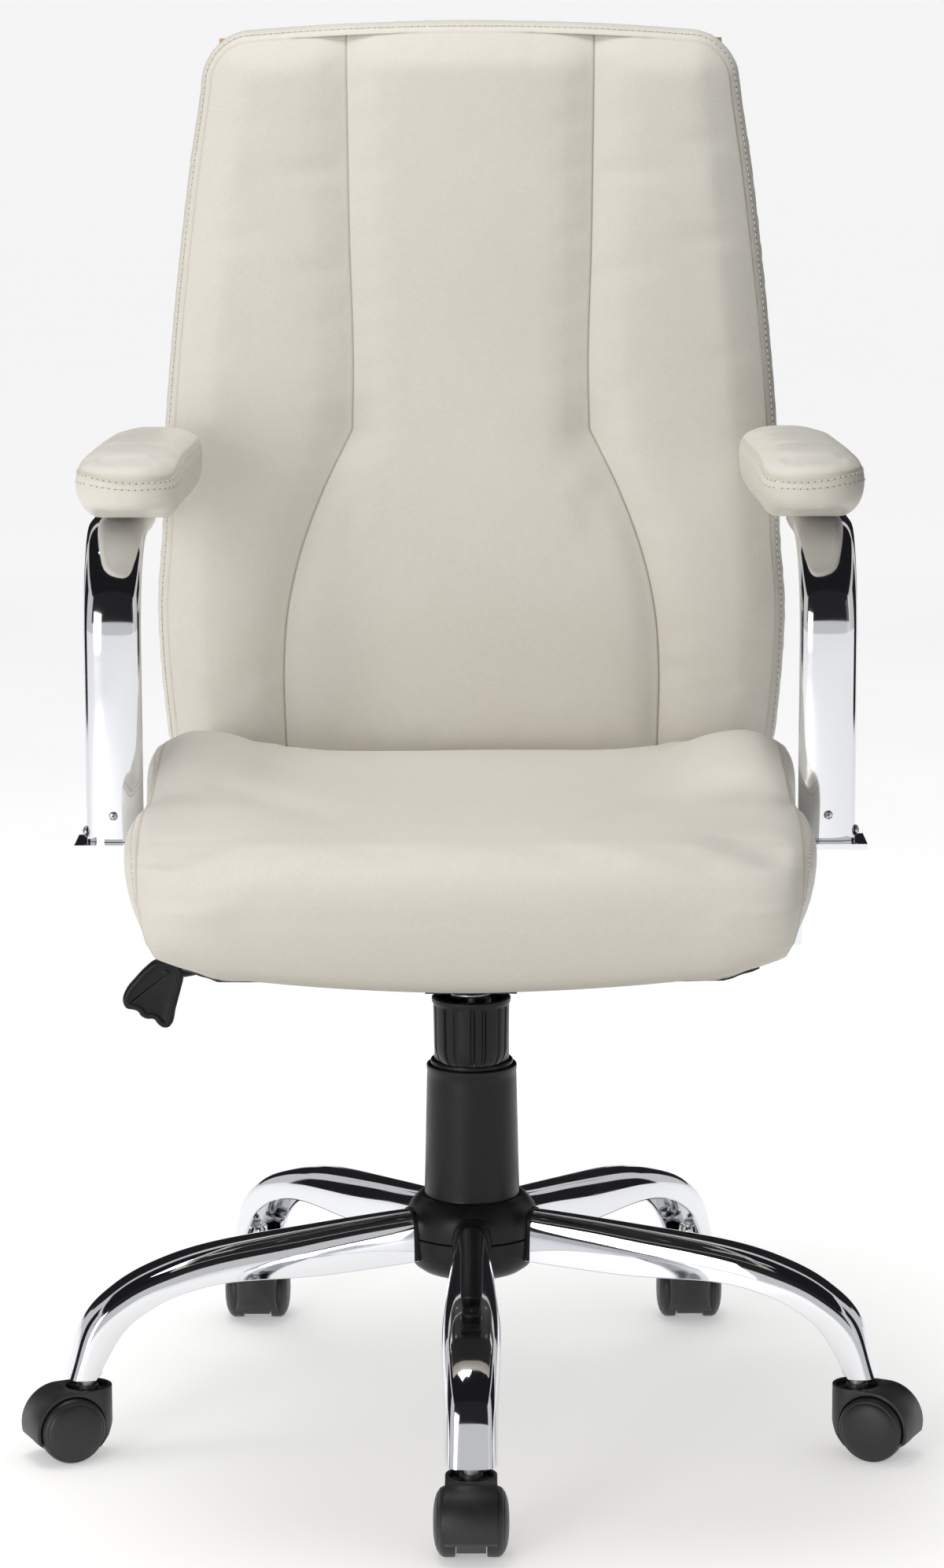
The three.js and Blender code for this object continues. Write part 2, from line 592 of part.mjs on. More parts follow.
function seat() {
  const group = new THREE.Group();
  const panTop = SEAT_BOTTOM_Z + PAN_THICK;
  const pocket = plate(panOutline(0.5), SEAT_BOTTOM_Z - 2, panTop + CLEARANCE);
  group.add(node("seat_cushion", seatCushion().subtract(pocket), LEATHER));
  group.add(node("seat_pan", plate(panOutline(0), SEAT_BOTTOM_Z + 0.2, panTop), PLYWOOD));
  const mechRoom = box(-104, 104, -116, 102, 390, 400);
  group.add(node("seat_dust_cover", plate(panOutline(4), 394.2, 395.6).subtract(mechRoom), FABRIC));
  group.add(node("seat_plate", seatPlate(), BLACK_STEEL));
  return group;
}

// ---- Back ----

// Front face of the back seen from the side, and its half width, both against height.
const BACK_FRONT = [[468, 180], [500, 180], [560, 181], [620, 179], [680, 185], [740, 197], [800, 209],
  [880, 227], [960, 247], [1040, 267], [1064, 273]];
const BACK_HALF_W = [[468, 240], [510, 244], [568, 249], [605, 250], [660, 246], [735, 244], [808, 239],
  [882, 232], [957, 224], [1030, 215], [1064, 213]];

const BACK_LEVELS = [500, 530, 560, 600, 640, 690, 740, 800, 880, 960, 1030];

// A slab of the back between two depths behind its front face, inset from its outline.
function backSlab(depth0, depth1, inset, bottom, top, power, edge) {
  const ends = edge > 0 ? [0, 0.12, 0.45, 1] : [0];
  const levels = [
    ...ends.map((share) => bottom + share * edge),
    ...BACK_LEVELS.filter((z) => z > bottom + edge && z < top - edge),
    ...ends.map((share) => top - share * edge).reverse(),
  ];
  const rings = levels.map((z) => {
    const toEnd = Math.min(z - bottom, top - z);
    const round = edge > 0 ? Math.min(toEnd / edge, 1) : 1;
    const shrink = Math.sqrt(1 - (1 - round) ** 2);
    const w = along(BACK_HALF_W, z) - inset - (z > 800 ? 16 : 9) * (1 - shrink);
    const middle = along(BACK_FRONT, z) + (depth0 + depth1) / 2;
    const half = ((depth1 - depth0) / 2) * (0.45 + 0.55 * shrink);
    const outline = roundedRing(w, half, power, edge > 20 ? 18 : 12);
    return outline.map(([x, y]) => new THREE.Vector3(x, middle + y, z));
  });
  return loft(rings);
}

function back() {
  const group = new THREE.Group();
  const plyFront = BACK_FOAM + CLEARANCE + 0.1;
  const plyRear = plyFront + BACK_PLY;
  const skinFront = plyRear + CLEARANCE + 0.1;
  group.add(node("back_cushion", backSlab(0, BACK_FOAM, 0, BACK_BOTTOM_Z, BACK_TOP_Z, 5, 34), LEATHER));
  const panel = backSlab(plyFront, plyRear, 10, BACK_BOTTOM_Z + 12, BACK_TOP_Z - 14, 12, 0);
  group.add(node("back_panel", panel, PLYWOOD));
  const skinRear = skinFront + BACK_SKIN;
  group.add(node("back_rear_cover",
    backSlab(skinFront, skinRear, 4, BACK_BOTTOM_Z + 6, BACK_TOP_Z - 8, 8, 12), LEATHER));

  // J-shaped flat steel bar from under the seat pan up the back.
  const thick = 6;
  const rear = (z) => along(BACK_FRONT, z) + skinRear + CLEARANCE + 0.5;
  const heights = [482, ...BACK_LEVELS.filter((z) => z <= 640)];
  const inside = [[104, 393.8], [226, 393.8], [244, 398], [253, 410], ...heights.map((z) => [rear(z), z])];
  const outside = [
    ...heights.map((z) => [rear(z) + thick, z]).reverse(), [259, 408], [248, 393], [228, 387.8], [104, 387.8],
  ];
  group.add(node("back_bracket", sidePlate([...inside, ...outside], -40, 40), BLACK_STEEL));
  return group;
}

// ---- Arms ----

// Centre line of the right arm: up from its foot, round a bend and back under the pad to the backrest.
function armPath() {
  const path = [
    [POST_X, POST_Y, POST_BASE_Z], [POST_X, POST_Y, 520], [POST_X, POST_Y, ARM_TOP_Z - ARM_BEND_R],
  ];
  for (let k = 1; k <= 7; k++) {
    const angle = radians((90 * k) / 7);
    path.push([POST_X, POST_Y + ARM_BEND_R * (1 - Math.cos(angle)),
      ARM_TOP_Z - ARM_BEND_R * (1 - Math.sin(angle))]);
  }
  path.push([POST_X, 90, 688.5], [264.5, 150, 686.5], [262.5, 185, 685], [261, 228, 684]);
  return path.map((p) => new THREE.Vector3(...p));
}

const ARM_WIDTHS = [[0, TUBE_W], [10, TUBE_W], [11, 36], [12, 29], [13, 25]];

function arm() {
  const path = armPath();
  const rings = path.map((p, i) => {
    const ahead = path[Math.min(i + 1, path.length - 1)].clone().sub(path[Math.max(i - 1, 0)]).normalize();
    if (i === 0) ahead.set(0, 0, 1);
    const across = new THREE.Vector3(1, 0, 0).addScaledVector(ahead, -ahead.x).normalize();
    const out = ahead.clone().cross(across);
    return roundedRing(along(ARM_WIDTHS, i) / 2, TUBE_T / 2, 2.6, 12).map(([a, b]) =>
      p.clone().addScaledVector(across, a).addScaledVector(out, b));
  });
  return loft(rings);
}

// Arm rest: an oval pad on its base, lying on the arm's level run.
function armPad() {
  const stations = [
    [-94, 14, 722, 738], [-90, 27, 716, 745], [-78, 36, 712, 751], [-55, 39.5, 708, 754],
    [10, 39.5, 702, 755], [80, 39, 700.5, 755], [135, 37, 700, 753], [158, 31, 701, 750], [168, 18, 706, 742],
  ];
  const rings = stations.map(([y, w, low, high]) => {
    const drift = PAD_X - (y > 0 ? (y / 168) * 8 : 0);
    return roundedRing(w, (high - low) / 2, 2.7, 14).map(([a, b]) =>
      new THREE.Vector3(drift + a, y, (low + high) / 2 + b));
  });
  const tubeRoom = box(230, 290, -100, 200, 680, ARM_TOP_Z + TUBE_T / 2 + 0.6);
  return loft(rings).subtract(tubeRoom);
}

// Flat bar from under the seat up the cushion's side to the foot of the arm.
function armBracket() {
  const outline = [
    [150, 393.8], [150, 389], [246, 389], [246, 461], [294, 461], [294, POST_BASE_Z - CLEARANCE],
    [241.4, POST_BASE_Z - CLEARANCE], [241.4, 393.8],
  ];
  const shape = new THREE.Shape(outline.map(([x, z]) => new THREE.Vector2(x, z)));
  const geometry = new THREE.ExtrudeGeometry(shape, { depth: 44, bevelEnabled: false });
  return solid(geometry.rotateX(Math.PI / 2).translate(0, POST_Y + 22, 0));
}

function arms() {
  const group = new THREE.Group();
  for (const [name, shape, material] of [
    ["arm", arm(), CHROME], ["arm_pad", armPad(), LEATHER], ["arm_bracket", armBracket(), CHROME],
  ]) {
    group.add(node(`${name}_right`, shape, material));
    group.add(node(`${name}_left`, shape.mirror([1, 0, 0]), material));
  }
  return group;
}

const chair = new THREE.Group();
chair.add(base(), casters(), lift(), mechanism(), seat(), back(), arms());

export default chair;
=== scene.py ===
"""Looks of a high-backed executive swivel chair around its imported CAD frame.

Shapes are in millimetres, and the camera and the lights in metres. +Z is up, the chair faces -Y, and -X is
on the left as seen from the front.
"""

import json
import math
from bisect import bisect_right

import bmesh
import bpy
import numpy as np
from mathutils import Matrix, Vector, noise


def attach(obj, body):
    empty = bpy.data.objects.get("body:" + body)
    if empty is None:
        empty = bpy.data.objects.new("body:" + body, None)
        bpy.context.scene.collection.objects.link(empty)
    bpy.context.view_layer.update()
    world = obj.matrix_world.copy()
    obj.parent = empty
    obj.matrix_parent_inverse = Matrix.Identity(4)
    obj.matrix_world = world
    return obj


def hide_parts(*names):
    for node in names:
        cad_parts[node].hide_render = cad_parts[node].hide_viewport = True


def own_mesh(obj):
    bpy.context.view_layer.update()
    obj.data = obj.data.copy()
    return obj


MM = 0.001
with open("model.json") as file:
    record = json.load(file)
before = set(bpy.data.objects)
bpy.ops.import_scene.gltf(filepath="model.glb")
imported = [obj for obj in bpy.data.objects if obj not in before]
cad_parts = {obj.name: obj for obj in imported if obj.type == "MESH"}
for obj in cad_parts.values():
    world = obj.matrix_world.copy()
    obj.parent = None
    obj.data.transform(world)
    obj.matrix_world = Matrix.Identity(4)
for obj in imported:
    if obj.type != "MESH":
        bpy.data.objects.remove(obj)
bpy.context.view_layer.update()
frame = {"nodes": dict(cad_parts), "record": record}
scene = bpy.context.scene
NODES = frame["nodes"]
SIDES = (("right", 1), ("left", -1))


# ---- Camera and light ----


CAMERA_PLACE = (0.012, -3.4035, 1.0987)
CAMERA_TURN, CAMERA_ROLL = 0.0033, -0.0025
CAMERA_DOWN_DEGREES = 10.036
FOCAL_LENGTH, SENSOR_WIDTH = 104.74, 36
FLOOR_REACH = 300


def make_camera():
    data = bpy.data.cameras.new("camera")
    data.lens = FOCAL_LENGTH
    data.sensor_width = SENSOR_WIDTH
    data.clip_end = 400
    camera = bpy.data.objects.new("camera", data)
    scene.collection.objects.link(camera)
    turn = Matrix.Rotation(CAMERA_TURN, 4, "Z")
    down = Matrix.Rotation(math.radians(90 - CAMERA_DOWN_DEGREES), 4, "X")
    roll = Matrix.Rotation(CAMERA_ROLL, 4, "Z")
    camera.matrix_world = Matrix.Translation(CAMERA_PLACE) @ turn @ down @ roll
    scene.camera = camera


def aim(place, target):
    return (Vector(target) - Vector(place)).to_track_quat("-Z", "Y").to_matrix().to_4x4()


def softbox(name, place, target, size, power, colour=(1, 1, 1)):
    data = bpy.data.lights.new(name, "AREA")
    data.shape = "RECTANGLE"
    data.size, data.size_y = size
    data.energy = power
    data.color = colour
    light = bpy.data.objects.new(name, data)
    scene.collection.objects.link(light)
    light.matrix_world = Matrix.Translation(place) @ aim(place, target)


def card_object(name, w, h):
    """A flat rectangle that reaches w and h to either side of its middle."""
    mesh = bpy.data.meshes.new(name)
    mesh.from_pydata([(-w, -h, 0), (w, -h, 0), (w, h, 0), (-w, h, 0)], [], [(0, 1, 2, 3)])
    card = bpy.data.objects.new(name, mesh)
    scene.collection.objects.link(card)
    return card


def flag(name, place, target, size, shade, glossy=True):
    """A dark card out of the camera's sight: it shows in chrome, or it only holds back stray light."""
    card = card_object(name, size[0] / 2, size[1] / 2)
    card.matrix_world = Matrix.Translation(place) @ aim(place, target)
    material = bpy.data.materials.new(name)
    material.use_nodes = True
    tree = material.node_tree
    tree.nodes.clear()
    glow = tree.nodes.new("ShaderNodeEmission")
    glow.inputs["Color"].default_value = (*shade, 1)
    out = tree.nodes.new("ShaderNodeOutputMaterial")
    tree.links.new(glow.outputs[0], out.inputs["Surface"])
    card.data.materials.append(material)
    card.visible_camera = card.visible_shadow = False
    card.visible_glossy, card.visible_diffuse = glossy, not glossy
    card.visible_transmission = card.visible_volume_scatter = False


def make_studio():
    scene.view_settings.view_transform = "Standard"
    world = bpy.data.worlds.new("studio")
    world.use_nodes = True
    sky = world.node_tree.nodes["Background"]
    sky.inputs["Color"].default_value = (1.0, 1.0, 1.0, 1)
    sky.inputs["Strength"].default_value = 0.62
    scene.world = world

    floor = card_object("floor", FLOOR_REACH, FLOOR_REACH)
    floor.data.materials.append(FLOOR)

    softbox("key_left", (-1.9, -3.0, 1.0), (0, 0, 0.65), (1.1, 1.7), 31, (1, 0.985, 0.965))
    softbox("fill_right", (2.5, -2.2, 1.4), (0, 0, 0.6), (0.9, 1.8), 0.6)
    softbox("top", (-0.35, 0.3, 3.4), (-0.05, 0, 0.5), (1.6, 1.2), 34)
    flag("ceiling_flag", (0, 0.4, 3.6), (0, 0.4, 0), (8.0, 7.0), (0.012, 0.012, 0.014))
    flag("rear_flag", (0, 5.0, 1.75), (0, 0, 1.0), (9.0, 2.9), (0.015, 0.015, 0.017))
    flag("left_flag", (-3.4, 0.4, 1.1), (0, 0, 0.5), (2.2, 2.5), (0.015, 0.015, 0.017))
    flag("right_flag", (3.4, 0.4, 1.1), (0, 0, 0.5), (2.2, 2.5), (0.015, 0.015, 0.017))
    flag("front_flag", (0, -3.5, 2.75), (0, -3.0, 2.75), (8.0, 2.7), (0.02, 0.02, 0.022))
    flag("under_flag", (0, -0.35, 0.3), (0, -0.35, 1), (0.7, 0.9), (0.42, 0.4, 0.36), glossy=False)
    flag("side_flag", (0.5, 0, 0.8), (0, 0, 0.8), (0.9, 0.8), (0.05, 0.05, 0.05), glossy=False)


# ---- Materials ----


class Recipe:
    """A node material being put together."""

    def __init__(self, name, **sockets):
        self.material = bpy.data.materials.new(name)
        self.material.use_nodes = True
        self.tree = self.material.node_tree
        self.shader = self.tree.nodes["Principled BSDF"]
        for key, value in sockets.items():
            self.shader.inputs[key.replace("_", " ")].default_value = value
        self.place = self.node("ShaderNodeTexCoord").outputs["Object"]
        self.bumped = None

    def node(self, kind, inputs=(), **settings):
        made = self.tree.nodes.new(kind)
        for key, value in settings.items():
            setattr(made, key, value)
        for key, value in dict(inputs).items():
            if isinstance(value, bpy.types.NodeSocket):
                self.tree.links.new(value, made.inputs[key])
            else:
                made.inputs[key].default_value = value
        return made

    def stretched(self, scale):
        return self.node("ShaderNodeMapping", {"Vector": self.place, "Scale": scale}).outputs[0]

    def noise(self, scale, detail=3.0, roughness=0.55, vector=None):
        inputs = {"Vector": vector or self.place, "Scale": scale, "Detail": detail, "Roughness": roughness}
        return self.node("ShaderNodeTexNoise", inputs).outputs["Fac"]

    def cells(self, scale, feature="DISTANCE_TO_EDGE", vector=None):
        inputs = {"Vector": vector or self.place, "Scale": scale}
        return self.node("ShaderNodeTexVoronoi", inputs, feature=feature).outputs["Distance"]

    def ranged(self, value, low, high, to_low=0.0, to_high=1.0):
        inputs = {"Value": value, "From Min": low, "From Max": high, "To Min": to_low, "To Max": to_high}
        return self.node("ShaderNodeMapRange", inputs).outputs["Result"]

    def painted(self, name):
        return self.node("ShaderNodeAttribute", attribute_name=name).outputs["Fac"]

    def mixed(self, share, a, b, blend="MIX"):
        inputs = {0: share, 6: a, 7: b}
        return self.node("ShaderNodeMix", inputs, data_type="RGBA", blend_type=blend).outputs[2]

    def math(self, operation, a, b):
        return self.node("ShaderNodeMath", {0: a, 1: b}, operation=operation).outputs[0]

    def bump(self, height, distance, strength=1.0):
        inputs = {"Height": height, "Distance": distance, "Strength": strength}
        if self.bumped is not None:
            inputs["Normal"] = self.bumped
        self.bumped = self.node("ShaderNodeBump", inputs).outputs[0]

    def done(self, colour=None, roughness=None):
        if colour is not None:
            self.tree.links.new(colour, self.shader.inputs["Base Color"])
        if roughness is not None:
            self.tree.links.new(roughness, self.shader.inputs["Roughness"])
        if self.bumped is not None:
            self.tree.links.new(self.bumped, self.shader.inputs["Normal"])
        return self.material

    def cloudy(self, share, dark, pale, low, high):
        """Finishes the material with a colour and a roughness that both follow one noise."""
        colour = self.mixed(share, (*dark, 1), (*pale, 1))
        return self.done(colour, self.ranged(share, 0.3, 0.7, low, high))


def leather():
    """Cream leather: fine pebble grain, soft creases, and a tan line where a seam closes, with painted shade in
    the seams' creases and where the leather turns under.
    """
    r = Recipe("leather", Specular_IOR_Level=0.5, Sheen_Weight=0.06, Sheen_Roughness=0.5)
    pebble = r.ranged(r.cells(820), 0.0, 0.22)
    pore = r.noise(2600, 2)
    drift = r.ranged(r.noise(7, 3), 0.35, 0.65)
    base = r.mixed(drift, (0.745, 0.712, 0.637, 1), (0.762, 0.733, 0.662, 1))
    valley = r.ranged(pebble, 0.0, 1.0, 0.93, 1.0)
    grey = r.node("ShaderNodeCombineColor", {0: valley, 1: valley, 2: valley}).outputs[0]
    grained = r.mixed(1.0, base, grey, "MULTIPLY")
    # The seam mark mixes in tan: the seam's own tan line plus painted shade in seam creases and where the
    # leather turns under.
    seamed = r.mixed(r.painted("seam_line_and_shade"), grained, (0.50, 0.42, 0.32, 1))
    r.bump(r.noise(46, 3), 0.0004, 0.25)
    r.bump(pebble, 0.00016, 0.55)
    r.bump(pore, 0.00006, 0.5)
    return r.done(seamed, r.ranged(r.math("ADD", drift, pore), 0.4, 1.6, 0.38, 0.48))


def chrome():
    """Polished plate: nearly a mirror, with the faint waviness of the tube below it."""
    r = Recipe("chrome", Base_Color=(0.80, 0.81, 0.835, 1), Metallic=1.0)
    smear = r.noise(22, 4)
    r.bump(r.noise(30, 2), 0.00022, 0.10)
    return r.done(None, r.ranged(smear, 0.35, 0.75, 0.035, 0.10))


def zinc():
    r = Recipe("steel", Metallic=1.0)
    r.bump(r.noise(900, 3), 0.00005, 0.5)
    return r.cloudy(r.noise(160, 3), (0.50, 0.51, 0.53), (0.66, 0.665, 0.67), 0.26, 0.42)


def moulded(name, colour, texture, depth, low, high, shine):
    """Moulded black plastic with a spark-eroded texture and slight scuffing."""
    r = Recipe(name, Specular_IOR_Level=shine)
    scuff = r.noise(38, 5)
    pale = tuple(c * 1.55 + 0.004 for c in colour)
    tint = r.mixed(r.ranged(scuff, 0.52, 0.8, 0.0, 0.8), (*colour, 1), (*pale, 1))
    r.bump(r.noise(texture, 3, 0.6), depth, 0.6)
    return r.done(tint, r.ranged(scuff, 0.3, 0.7, low, high))


def powder_coat():
    r = Recipe("black_steel", Specular_IOR_Level=0.5)
    orange_peel = r.noise(420, 2)
    worn = r.ranged(r.noise(60, 4), 0.6, 0.85)
    colour = r.mixed(worn, (0.026, 0.026, 0.028, 1), (0.05, 0.05, 0.053, 1))
    r.bump(orange_peel, 0.0002, 0.5)
    return r.done(colour, r.ranged(orange_peel, 0.3, 0.7, 0.34, 0.5))


def nylon():
    r = Recipe("nylon", Subsurface_Weight=0.08, Subsurface_Scale=0.002)
    r.bump(r.noise(700, 2), 0.00008, 0.5)
    return r.cloudy(r.noise(50, 3), (0.66, 0.64, 0.57), (0.74, 0.72, 0.66), 0.4, 0.55)


def plywood():
    """Beech ply: long grain across the face, and plies on the edges."""
    r = Recipe("plywood", Specular_IOR_Level=0.3)
    grain = r.noise(1.0, 6, 0.65, r.stretched((24, 420, 60)))
    plies = r.ranged(r.noise(1.0, 0, 0.5, r.stretched((2, 2, 640))), 0.45, 0.55)
    face = r.mixed(grain, (0.40, 0.25, 0.12, 1), (0.62, 0.44, 0.26, 1))
    colour = r.mixed(r.math("MULTIPLY", plies, 0.3), face, (0.30, 0.18, 0.09, 1))
    r.bump(grain, 0.0002, 0.5)
    return r.done(colour, r.ranged(grain, 0.3, 0.7, 0.55, 0.75))


def dust_cloth():
    """Black non-woven cloth: matted fibres and the small points where it was bonded."""
    r = Recipe("dust_cloth", Sheen_Weight=0.25, Sheen_Roughness=0.6, Specular_IOR_Level=0.2)
    fibre = r.noise(1500, 5, 0.7, r.stretched((1.0, 0.35, 1.0)))
    bond = r.ranged(r.cells(420, "F1"), 0.12, 0.32)
    r.bump(bond, 0.00025, 0.5)
    r.bump(fibre, 0.0002, 0.7)
    return r.cloudy(fibre, (0.010, 0.010, 0.011), (0.036, 0.036, 0.039), 0.85, 0.97)


def thread():
    r = Recipe("thread", Sheen_Weight=0.2, Specular_IOR_Level=0.3)
    twist = r.noise(2400, 2)
    r.bump(twist, 0.0001, 0.8)
    return r.cloudy(twist, (0.66, 0.60, 0.49), (0.80, 0.75, 0.65), 0.6, 0.8)


def needle_hole_shade():
    # Painted shade: the dark spots drawn at the needle holes stand in for the holes' shade.
    r = Recipe("needle_hole_shade", Specular_IOR_Level=0.1)
    return r.cloudy(r.noise(1800, 2), (0.20, 0.16, 0.12), (0.32, 0.27, 0.21), 0.8, 0.95)


def pale_floor():
    r = Recipe("floor", Specular_IOR_Level=0.2, Emission_Color=(1, 1, 1, 1), Emission_Strength=0.34)
    return r.cloudy(r.noise(1.5, 2), (0.90, 0.90, 0.90), (0.92, 0.92, 0.92), 0.55, 0.65)


LEATHER = leather()
CHROME = chrome()
STEEL = zinc()
BLACK_STEEL = powder_coat()
BLACK_PLASTIC = moulded("black_plastic", (0.006, 0.006, 0.0068), 900, 0.00010, 0.30, 0.42, 0.27)
CASTER_PLASTIC = moulded("caster_plastic", (0.014, 0.014, 0.0165), 1300, 0.00016, 0.36, 0.48, 0.5)
NYLON = nylon()
PLYWOOD = plywood()
DUST_CLOTH = dust_cloth()
THREAD = thread()
NEEDLE_HOLE_SHADE = needle_hole_shade()
FLOOR = pale_floor()
BY_SLOT = {
    "leather": LEATHER, "chrome": CHROME, "steel": STEEL, "black_steel": BLACK_STEEL,
    "black_plastic": BLACK_PLASTIC, "caster_plastic": CASTER_PLASTIC, "nylon": NYLON,
    "plywood": PLYWOOD, "dust_cloth": DUST_CLOTH,
}
SLOT_OF = {finish.name: slot for slot, finish in BY_SLOT.items()}


# ---- Lines and shapes ----


def clamp(value, low=0.0, high=1.0):
    return min(max(value, low), high)


def smooth(low, high, value):
    t = clamp((value - low) / (high - low))
    return t * t * (3 - 2 * t)


def bell(value, width):
    return math.exp(-((value / width) ** 2))


def curve(points):
    """A smooth line through (x, y) points, as a function of x."""
    xs = [p[0] for p in points]
    ys = [p[1] for p in points]
    slopes = list(np.gradient(np.array(ys, float), np.array(xs, float)))

    def at(x):
        x = clamp(x, xs[0], xs[-1])
        i = min(bisect_right(xs, x) - 1, len(xs) - 2)
        h = xs[i + 1] - xs[i]
        t = (x - xs[i]) / h
        ends = (1 + 2 * t) * (1 - t) ** 2 * ys[i] + t * t * (3 - 2 * t) * ys[i + 1]
        return ends + h * (t * (1 - t) ** 2 * slopes[i] + t * t * (t - 1) * slopes[i + 1])

    return at


def resample(points, step, closed=False):
    """Points about step apart on a smooth line through the given ones."""
    points = np.array(points, float)
    if closed:
        points = np.concatenate([points[-2:], points, points[:3]])
    along = running(points)
    first, last = (along[2], along[-3]) if closed else (along[0], along[-1])
    count = max(2, round((last - first) / step))
    at = np.linspace(first, last, count + 1)
    lines = [curve(list(zip(along, points[:, k]))) for k in range(points.shape[1])]
    made = np.array([[line(s) for line in lines] for s in at])
    return made[:-1] if closed else made


def spaced(low, high, step, ends=()):
    """Values from low to high about step apart, with closer ones at the given distances from both ends."""
    inner_low, inner_high = low + (ends[-1] if ends else 0), high - (ends[-1] if ends else 0)
    count = max(1, round((inner_high - inner_low) / step))
    middle = [inner_low + (inner_high - inner_low) * i / count for i in range(count + 1)]
    before = [low + e for e in (0, *ends[:-1])] if ends else []
    after = [high - e for e in reversed((0, *ends[:-1]))] if ends else []
    return before + middle + after


def quads(index, closed_rows=False, closed_columns=False):
    """Faces of a grid of point numbers."""
    index = np.array(index)
    if closed_columns:
        index = np.concatenate([index, index[:, :1]], axis=1)
    if closed_rows:
        index = np.concatenate([index, index[:1]], axis=0)
    return np.stack([index[:-1, :-1], index[:-1, 1:], index[1:, 1:], index[1:, :-1]], axis=-1).reshape(-1, 4)


def about_z(degrees):
    return Matrix.Rotation(math.radians(degrees), 4, "Z")


def circle(r, count):
    turned = [2 * math.pi * k / count for k in range(count)]
    return [(r * math.cos(a), r * math.sin(a)) for a in turned]


class Shape:
    """Points and faces gathered into one mesh."""

    def __init__(self):
        self.points, self.faces, self.kinds, self.seam_line_and_shade = [], [], [], []

    def add(self, points, faces, kind=0, matrix=None, seam_line_and_shade=None):
        start = len(self.points)
        for p in points:
            self.points.append(tuple(matrix @ Vector(p)) if matrix else tuple(p))
        self.faces += [tuple(int(i) + start for i in face) for face in faces]
        self.kinds += [kind] * len(faces)
        self.seam_line_and_shade += list(seam_line_and_shade) if seam_line_and_shade is not None else [0.0] * len(points)

    def rings(self, rings, kind=0, matrix=None, closed=False):
        """A skin over closed rings of points, with flat ends unless it closes on itself."""
        count = len(rings[0])
        index = np.arange(len(rings) * count).reshape(len(rings), count)
        faces = [tuple(f) for f in quads(index, closed, True)]
        if not closed:
            faces += [tuple(index[0][::-1]), tuple(index[-1])]
        self.add([p for ring in rings for p in ring], faces, kind, matrix)

    def join(self, first, second):
        """Faces between two closed rings of points that are already there."""
        faces = quads([first, second], False, True)
        self.faces += [tuple(int(i) for i in f) for f in faces]
        self.kinds += [0] * len(faces)

    def band(self, previous, ring, tint=0.0):
        """A further ring of points joined to the previous one; gives the new points' numbers."""
        current = np.arange(len(self.points), len(self.points) + len(ring))
        # tint is how much tan seam line and painted seam shade the ring's points get.
        self.add(ring, [], seam_line_and_shade=[tint] * len(ring))
        self.join(previous, current)
        return current

    def lathe(self, profile, segments, matrix=None, closed=True, flute=None):
        """A profile of (radius, height) turned about the Z axis. flute changes the radius with the angle."""
        rings = []
        bite = flute or (lambda r, z, a: r)
        for k in range(segments):
            angle = 2 * math.pi * k / segments
            c, s = math.cos(angle), math.sin(angle)
            rings.append([(bite(r, z, angle) * c, bite(r, z, angle) * s, z) for r, z in profile])
        index = np.arange(segments * len(profile)).reshape(segments, len(profile))
        self.add([p for ring in rings for p in ring], quads(index, True, closed), 0, matrix)

    def mesh(self, name, scale=MM, weld=0.01):
        """A clean mesh: doubled points within the weld distance are joined, and all faces turned outwards."""
        mesh = bpy.data.meshes.new(name)
        mesh.from_pydata([Vector(p) * scale for p in self.points], [], self.faces)
        mesh.polygons.foreach_set("material_index", self.kinds)
        # Per-point seam mark: a seam's tan line plus painted shade in its crease, 0 elsewhere.
        layer = mesh.attributes.new("seam_line_and_shade", "FLOAT", "POINT")
        layer.data.foreach_set("value", self.seam_line_and_shade)
        bm = bmesh.new()
        bm.from_mesh(mesh)
        bmesh.ops.remove_doubles(bm, verts=bm.verts, dist=weld * scale)
        bmesh.ops.recalc_face_normals(bm, faces=bm.faces)
        bm.to_mesh(mesh)
        bm.free()
        return mesh

    def object(self, name, body, *materials, node=None, slot=None, sharp=40):
        """The shape as a piece that rides on a body and, if a node is given, takes that CAD node's place."""
        mesh = self.mesh(name)
        mesh.polygons.foreach_set("use_smooth", [True] * len(mesh.polygons))
        mesh.set_sharp_from_angle(angle=math.radians(sharp))
        for material in materials:
            mesh.materials.append(material)
        made = bpy.data.objects.new(name, mesh)
        scene.collection.objects.link(made)
        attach(made, body)
        slot or SLOT_OF[materials[0].name]
        if node:
            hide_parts(node)
        return made


def superellipse(a, b, power, count):
    turn = [2 * math.pi * (k + 0.5) / count for k in range(count)]
    reach = lambda v: math.copysign(abs(v) ** (2 / power), v)
    return [(a * reach(math.cos(t)), b * reach(math.sin(t))) for t in turn]


def sweep(path, sections, side):
    """Rings of sections carried along a path; side is where each section's first axis leans."""
    path = np.array(path, float)
    ahead = np.gradient(path, axis=0)
    rings = []
    for p, t, section in zip(path, ahead, sections):
        t = t / np.linalg.norm(t)
        across = np.array(side, float) - t * np.dot(side, t)
        across /= np.linalg.norm(across)
        out = np.cross(t, across)
        rings.append([p + a * across + b * out for a, b in section])
    return rings


def rod(path, radii, sides, lean=(0, 0, 1)):
    """Rings of a round bar with a radius at each point of its path."""
    return sweep(path, [circle(r, sides) for r in radii], lean)


def inset(outline, distance):
    """A closed 2-D outline moved inwards along its normals; the outline runs counter-clockwise."""
    points = np.array(outline, float)
    ahead = np.roll(points, -1, axis=0) - np.roll(points, 1, axis=0)
    ahead /= np.linalg.norm(ahead, axis=1)[:, None]
    return points + distance * np.stack([-ahead[:, 1], ahead[:, 0]], axis=1)


